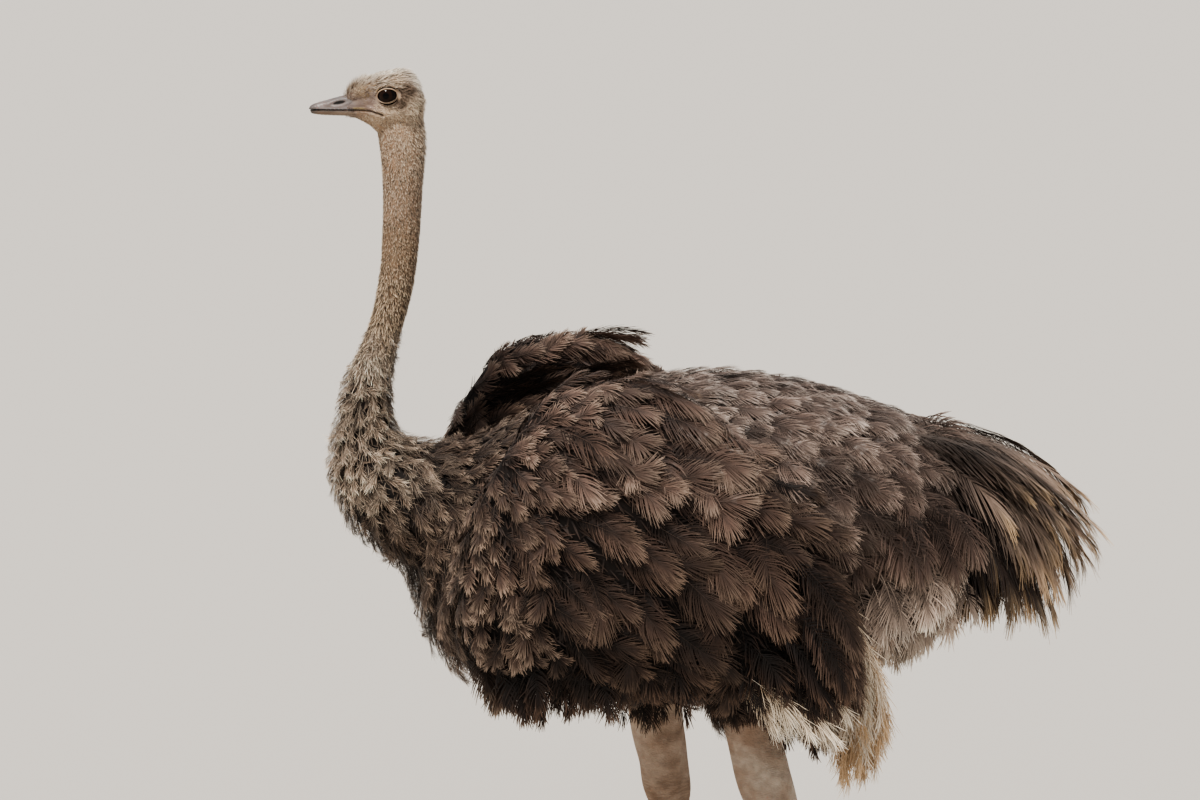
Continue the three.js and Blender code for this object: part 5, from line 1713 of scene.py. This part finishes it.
def downUnder(name, keep, rng):
    # short soft strips close to the skin, which fill between the plumes
    look = underDown
    roots, normals, _ = samplePoints(skin.data, keep, look["count"], rng)
    guides = Guides(bodyGuides + wingGuides)
    flow = alongSkin(guides.flowAt(roots), normals)
    flow = turned(flow, normals, rng.normal(0, 0.6, len(roots)))
    t = np.array([0, 0.5, 1.0])
    each = (len(roots), 1)
    length = look["length"] * rng.uniform(0.6, 1.3, each)
    rise = look["rise"] * rng.uniform(0.3, 1.3, each)
    place = roots[:, None] + flow[:, None] * (length * t)[:, :, None]
    place = place + normals[:, None] * (rise * t)[:, :, None]
    across = unit(np.cross(normals, flow) + normals * rng.normal(0, 0.4, each))
    thick = look["width"] * np.array([0.8, 1.0, 0.25])[None] * rng.uniform(0.7, 1.2, each)
    tones = guides.tonesAt(roots)
    root, body = tones[:, 0], tones[:, 1]
    color = np.stack([root, mix(root, body, 0.35), mix(root, body, 0.7)], 1)
    color = np.clip(color * look["shade"] * rng.normal(1, 0.2, (*each, 1)), 0, 1)
    bake = unwrapAround(roots, 0, (0, 0, 1.03))[:, None] + patchUp(t)
    strips = Strips()
    strips.add(place, np.repeat(across[:, None], 3, 1), thick, color, bake)
    return makeStrips(name, strips)


def isCoated(p, n):
    return (p[:, 2] > 0.69) & (p[:, 2] < 1.39) & ~nearLeg(p)


downUnder("underDown", isCoated, rng)
tailCoat(rng)
for side in stances:
    hangingCoat("flightPlumes_" + side, flightRows, side, coatPieces["hanging"], rng)
    hangingCoat("fringePlumes_" + side, fringeRows, side, coatPieces["fringe"], rng)
hangingCoat("ridgePlumes_left", ridgeRows, "left", coatPieces["ridge"], rng)
hangingCoat("ridgePlumes_right", crestRows, "right", coatPieces["crest"], rng)


# bristles: short stiff down on the head and the upper neck

bristleGuides = [
    # place, angle below straight back, length, width, rise at the tip, tone
    ((-0.634, 0.006, 1.832), -50, 0.012, 0.0008, 0.0085, "crown"),
    ((-0.622, 0.004, 1.84), -36, 0.015, 0.0008, 0.0085, "crown"),
    ((-0.618, 0.022, 1.828), -16, 0.0045, 0.0006, 0.0016, "faceDown"),
    ((-0.605, 0.0, 1.848), -16, 0.014, 0.0008, 0.0048, "crown"),
    ((-0.57, 0.012, 1.858), -12, 0.017, 0.0008, 0.0048, "crown"),
    ((-0.54, 0.0, 1.86), 2, 0.018, 0.0008, 0.006, "crown"),
    ((-0.524, 0.01, 1.843), 30, 0.014, 0.0008, 0.006, "crown"),
    ((-0.512, 0.008, 1.815), 48, 0.013, 0.0008, 0.0075, "nape"),
    ((-0.506, 0.006, 1.76), 72, 0.0105, 0.0008, 0.006, "nape"),
    ((-0.62, 0.026, 1.805), 10, 0.0022, 0.0005, 0.0005, "lore"),
    ((-0.6, 0.033, 1.812), 8, 0.0022, 0.0005, 0.0005, "lore"),
    ((-0.585, 0.036, 1.797), 22, 0.003, 0.0006, 0.0008, "cheek"),
    ((-0.555, 0.037, 1.788), 32, 0.0046, 0.0006, 0.0012, "cheek"),
    ((-0.6, 0.03, 1.775), 30, 0.0036, 0.0006, 0.001, "cheek"),
    ((-0.545, 0.036, 1.806), 30, 0.006, 0.0007, 0.0028, "ear"),
    ((-0.525, 0.034, 1.8), 40, 0.007, 0.0007, 0.0036, "cheek"),
    ((-0.535, 0.034, 1.83), 4, 0.009, 0.0007, 0.0028, "ear"),
    ((-0.555, 0.03, 1.846), -8, 0.012, 0.0007, 0.003, "nape"),
    ((-0.545, 0.034, 1.765), 62, 0.005, 0.0007, 0.0016, "nape"),
    ((-0.56, 0.032, 1.735), 78, 0.0046, 0.0007, 0.0016, "nape"),
    ((-0.545, 0.032, 1.65), 86, 0.0048, 0.0008, 0.0019, "nape"),
    ((-0.555, 0.032, 1.55), 87, 0.0054, 0.0008, 0.0022, "neckDown"),
    ((-0.57, 0.034, 1.47), 84, 0.008, 0.001, 0.0034, "neckDown"),
    ((-0.592, 0.04, 1.41), 83, 0.013, 0.0011, 0.0055, "neckDown"),
    ((-0.61, 0.045, 1.35), 82, 0.019, 0.0013, 0.009, "neckBase"),
]
palette.update({
    "crown": ((0.56, 0.49, 0.43), (0.86, 0.8, 0.73), (0.98, 0.94, 0.88)),
    "faceDown": ((0.44, 0.37, 0.31), (0.68, 0.6, 0.51), (0.85, 0.78, 0.68)),
    "lore": ((0.4, 0.35, 0.34), (0.54, 0.48, 0.46), (0.68, 0.62, 0.58)),
    "cheek": ((0.54, 0.45, 0.37), (0.8, 0.71, 0.61), (0.94, 0.88, 0.78)),
    "ear": ((0.2, 0.16, 0.13), (0.38, 0.31, 0.26), (0.56, 0.48, 0.41)),
    "nape": ((0.37, 0.3, 0.25), (0.68, 0.59, 0.5), (0.93, 0.86, 0.77)),
    "neckDown": ((0.26, 0.2, 0.16), (0.59, 0.5, 0.41), (0.87, 0.79, 0.68)),
})
bristleForm = {"head": 17000, "neck": 20000, "from": 1.745, "clearOfEye": 1.42,
               "darkOnHead": 0.11, "darkOnNeck": 0.3, "middle": (-0.56, 0, 0)}


def bristleCoat(name, keep, count, rng):
    guides = Guides(bristleGuides, 0.02)
    roots, normals, area = samplePoints(skin.data, keep, count, rng)
    sizes = guides.sizesAt(roots) * rng.uniform(0.7, 1.3, (len(roots), 1))
    flow = alongSkin(guides.flowAt(roots), normals)
    flow = turned(flow, normals, rng.normal(0, mix(0.34, 0.13, smooth(0.006, 0.012, sizes[:, 0]))))
    t = np.array([0, 0.5, 1.0])
    rise = (sizes[:, 2:3] * t**1.1)[:, :, None]
    place = roots[:, None] + flow[:, None] * (sizes[:, :1] * t)[:, :, None] + normals[:, None] * rise
    across = np.cross(normals, flow)
    across = unit(across + normals * rng.normal(0, 0.5, (len(roots), 1)))
    across = np.repeat(across[:, None], 3, 1)
    thick = sizes[:, 1:2] * np.array([1.0, 0.9, 0.3])[None]
    tones = guides.tonesAt(roots)
    pale = rng.random(len(roots))[:, None, None]
    dark = mix(bristleForm["darkOnNeck"], bristleForm["darkOnHead"], smooth(1.69, 1.8, roots[:, 2]))
    tint = np.where(pale < dark[:, None, None], 0.3, np.where(pale > 0.85, 1.25, 1.0))
    color = tones * tint * rng.normal(1, 0.12, (len(roots), 1, 1))
    bake = unwrapAround(roots, 2, bristleForm["middle"])[:, None] + patchUp(t)
    strips = Strips()
    strips.add(place, across, thick, np.clip(color, 0, 1), bake)
    print(name, len(roots), "bristles on", round(float(area), 4), "m2")
    return makeStrips(name, strips)


def isHeadDown(p, n):
    dx = (p[:, 0] - eyeForm["x"]) / lidForm["halfLong"]
    dz = (p[:, 2] - eyeForm["z"]) / lidForm["halfHigh"]
    clear = (np.hypot(dx, dz) > bristleForm["clearOfEye"]) | (np.abs(p[:, 1]) < 0.015)
    gape = alongLine(p, gapeLine, 0.0026, 1.0) > 0.35
    # the lore is nearly bare, and thins out softly
    lore = alongLine(p, [(-0.634, 1.803), (-0.612, 1.803), (-0.594, 1.8015)], 0.0085, 0.88)
    even = mix(0.52, 1.0, smooth(bristleForm["from"], 1.8, p[:, 2]))
    thinned = 1 - lore * (np.abs(p[:, 1]) > 0.012)
    return (p[:, 2] > bristleForm["from"]) * clear * ~gape * (p[:, 0] > -0.64) * thinned * even


def isNeckDown(p, n):
    even = mix(0.85, 1.0, smooth(1.6, bristleForm["from"], p[:, 2]))
    below = p[:, 2] <= bristleForm["from"]
    return below * smooth(1.31, 1.375, p[:, 2]) * (p[:, 0] < -0.48) * even


bristleCoat("headBristles", isHeadDown, bristleForm["head"], rng)
bristleCoat("neckBristles", isNeckDown, bristleForm["neck"], rng)


# scutes: broad plates down the front of the leg and along the toes, set on by points

scuteForm = {
    "legLow": 0.105, "legHigh": 0.4, "legStep": 0.0165, "legHalf": (0.0165, 0.0112, 0.011),
    "stagger": 0.0015, "ahead": 0.09, "above": 0.12,
    # how far out along each toe, and half width
    "toes": {"inner": (0.3, 0.86, 0.015), "outer": (0.34, 0.84, 0.0105)},
    "toeStep": 0.0115, "toeHalf": (0.0078, 0.0095), "sunk": 0.8, "shade": 0.86, "rings": 7, "segments": 12,
}


def scuteSites():
    # places on the skin, their outward way, the way of their rows and their half sizes
    sites = []
    for stance in stances.values():
        way, form = stance["side"], scuteForm
        for row, z in enumerate(np.arange(form["legLow"], form["legHigh"], form["legStep"])):
            sideways = legForm["spread"] + form["stagger"] * (-1) ** row
            start = Vector((legLine(stance, z) - form["ahead"], way * sideways, z))
            place, out, _, _ = skinTree.ray_cast(start, Vector((1, 0, 0)))
            shrink = 1 - 0.35 * smooth(0.3, 0.4, z)
            wide, tall, thick = form["legHalf"]
            sites.append((place, out, (0, 0, 1), (wide * shrink, tall, thick * shrink)))
        for toe, (first, reach, half) in form["toes"].items():
            toeForm = toeForms[toe]
            root, ahead, _ = toeWays(stance, toeForm)
            for at in np.arange(first, reach, form["toeStep"] / toeForm["length"]):
                start = Vector(root + ahead * at * toeForm["length"] + up * form["above"])
                place, out, _, _ = skinTree.ray_cast(start, Vector((0, 0, -1)))
                tall, thick = form["toeHalf"]
                sites.append((place, out, ahead, (half * (1 - 0.35 * at), tall, thick * (1 - 0.3 * at))))
    return sites


def scuteTree(material):
    # sets a flat ball on each site, turned outwards and sized by its attributes
    writer, entry, scaleSocket = startTree("scutes", "Plate Scale")
    add, read = writer.add, writer.read
    inputs = {"Segments": scuteForm["segments"], "Rings": scuteForm["rings"]}
    plate = add("GeometryNodeMeshUVSphere", inputs).outputs[0]
    outward, rowWay = read("outward", "FLOAT_VECTOR"), read("rowWay", "FLOAT_VECTOR")
    inputs = {"Primary Axis": outward, "Secondary Axis": rowWay}
    aim = add("FunctionNodeAxesToRotation", inputs, primary_axis="Z", secondary_axis="Y").outputs[0]
    inputs = {0: read("halfSize", "FLOAT_VECTOR"), "Scale": entry["Plate Scale"]}
    size = add("ShaderNodeVectorMath", inputs, operation="SCALE").outputs[0]
    inputs = {"Points": entry["Points"], "Instance": plate, "Rotation": aim, "Scale": size}
    scatter = add("GeometryNodeInstanceOnPoints", inputs).outputs[0]
    return endTree(writer, scatter, material), scaleSocket


def makeScutes(rng):
    sites = scuteSites()
    place, out, row, size = (np.array([site[k] for site in sites], float) for k in range(4))
    size = size * rng.uniform(0.94, 1.06, (len(sites), 3))
    place = place - out * size[:, 2:] * scuteForm["sunk"]
    thing = meshFrom("scutes", place, [])
    mesh = thing.data
    for label, values in (("outward", out), ("rowWay", row), ("halfSize", size)):
        setLayer(mesh, label, "FLOAT_VECTOR", "vector", values)
    setTone(mesh, "skinTone", toneOfBare(place) * scuteForm["shade"])
    growTree(thing, *scuteTree(skin.data.materials[0]))
    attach(thing, "root")
    print("scutes", len(sites), "plates,", len(thing.data.polygons), "faces")
    return thing


makeScutes(rng)
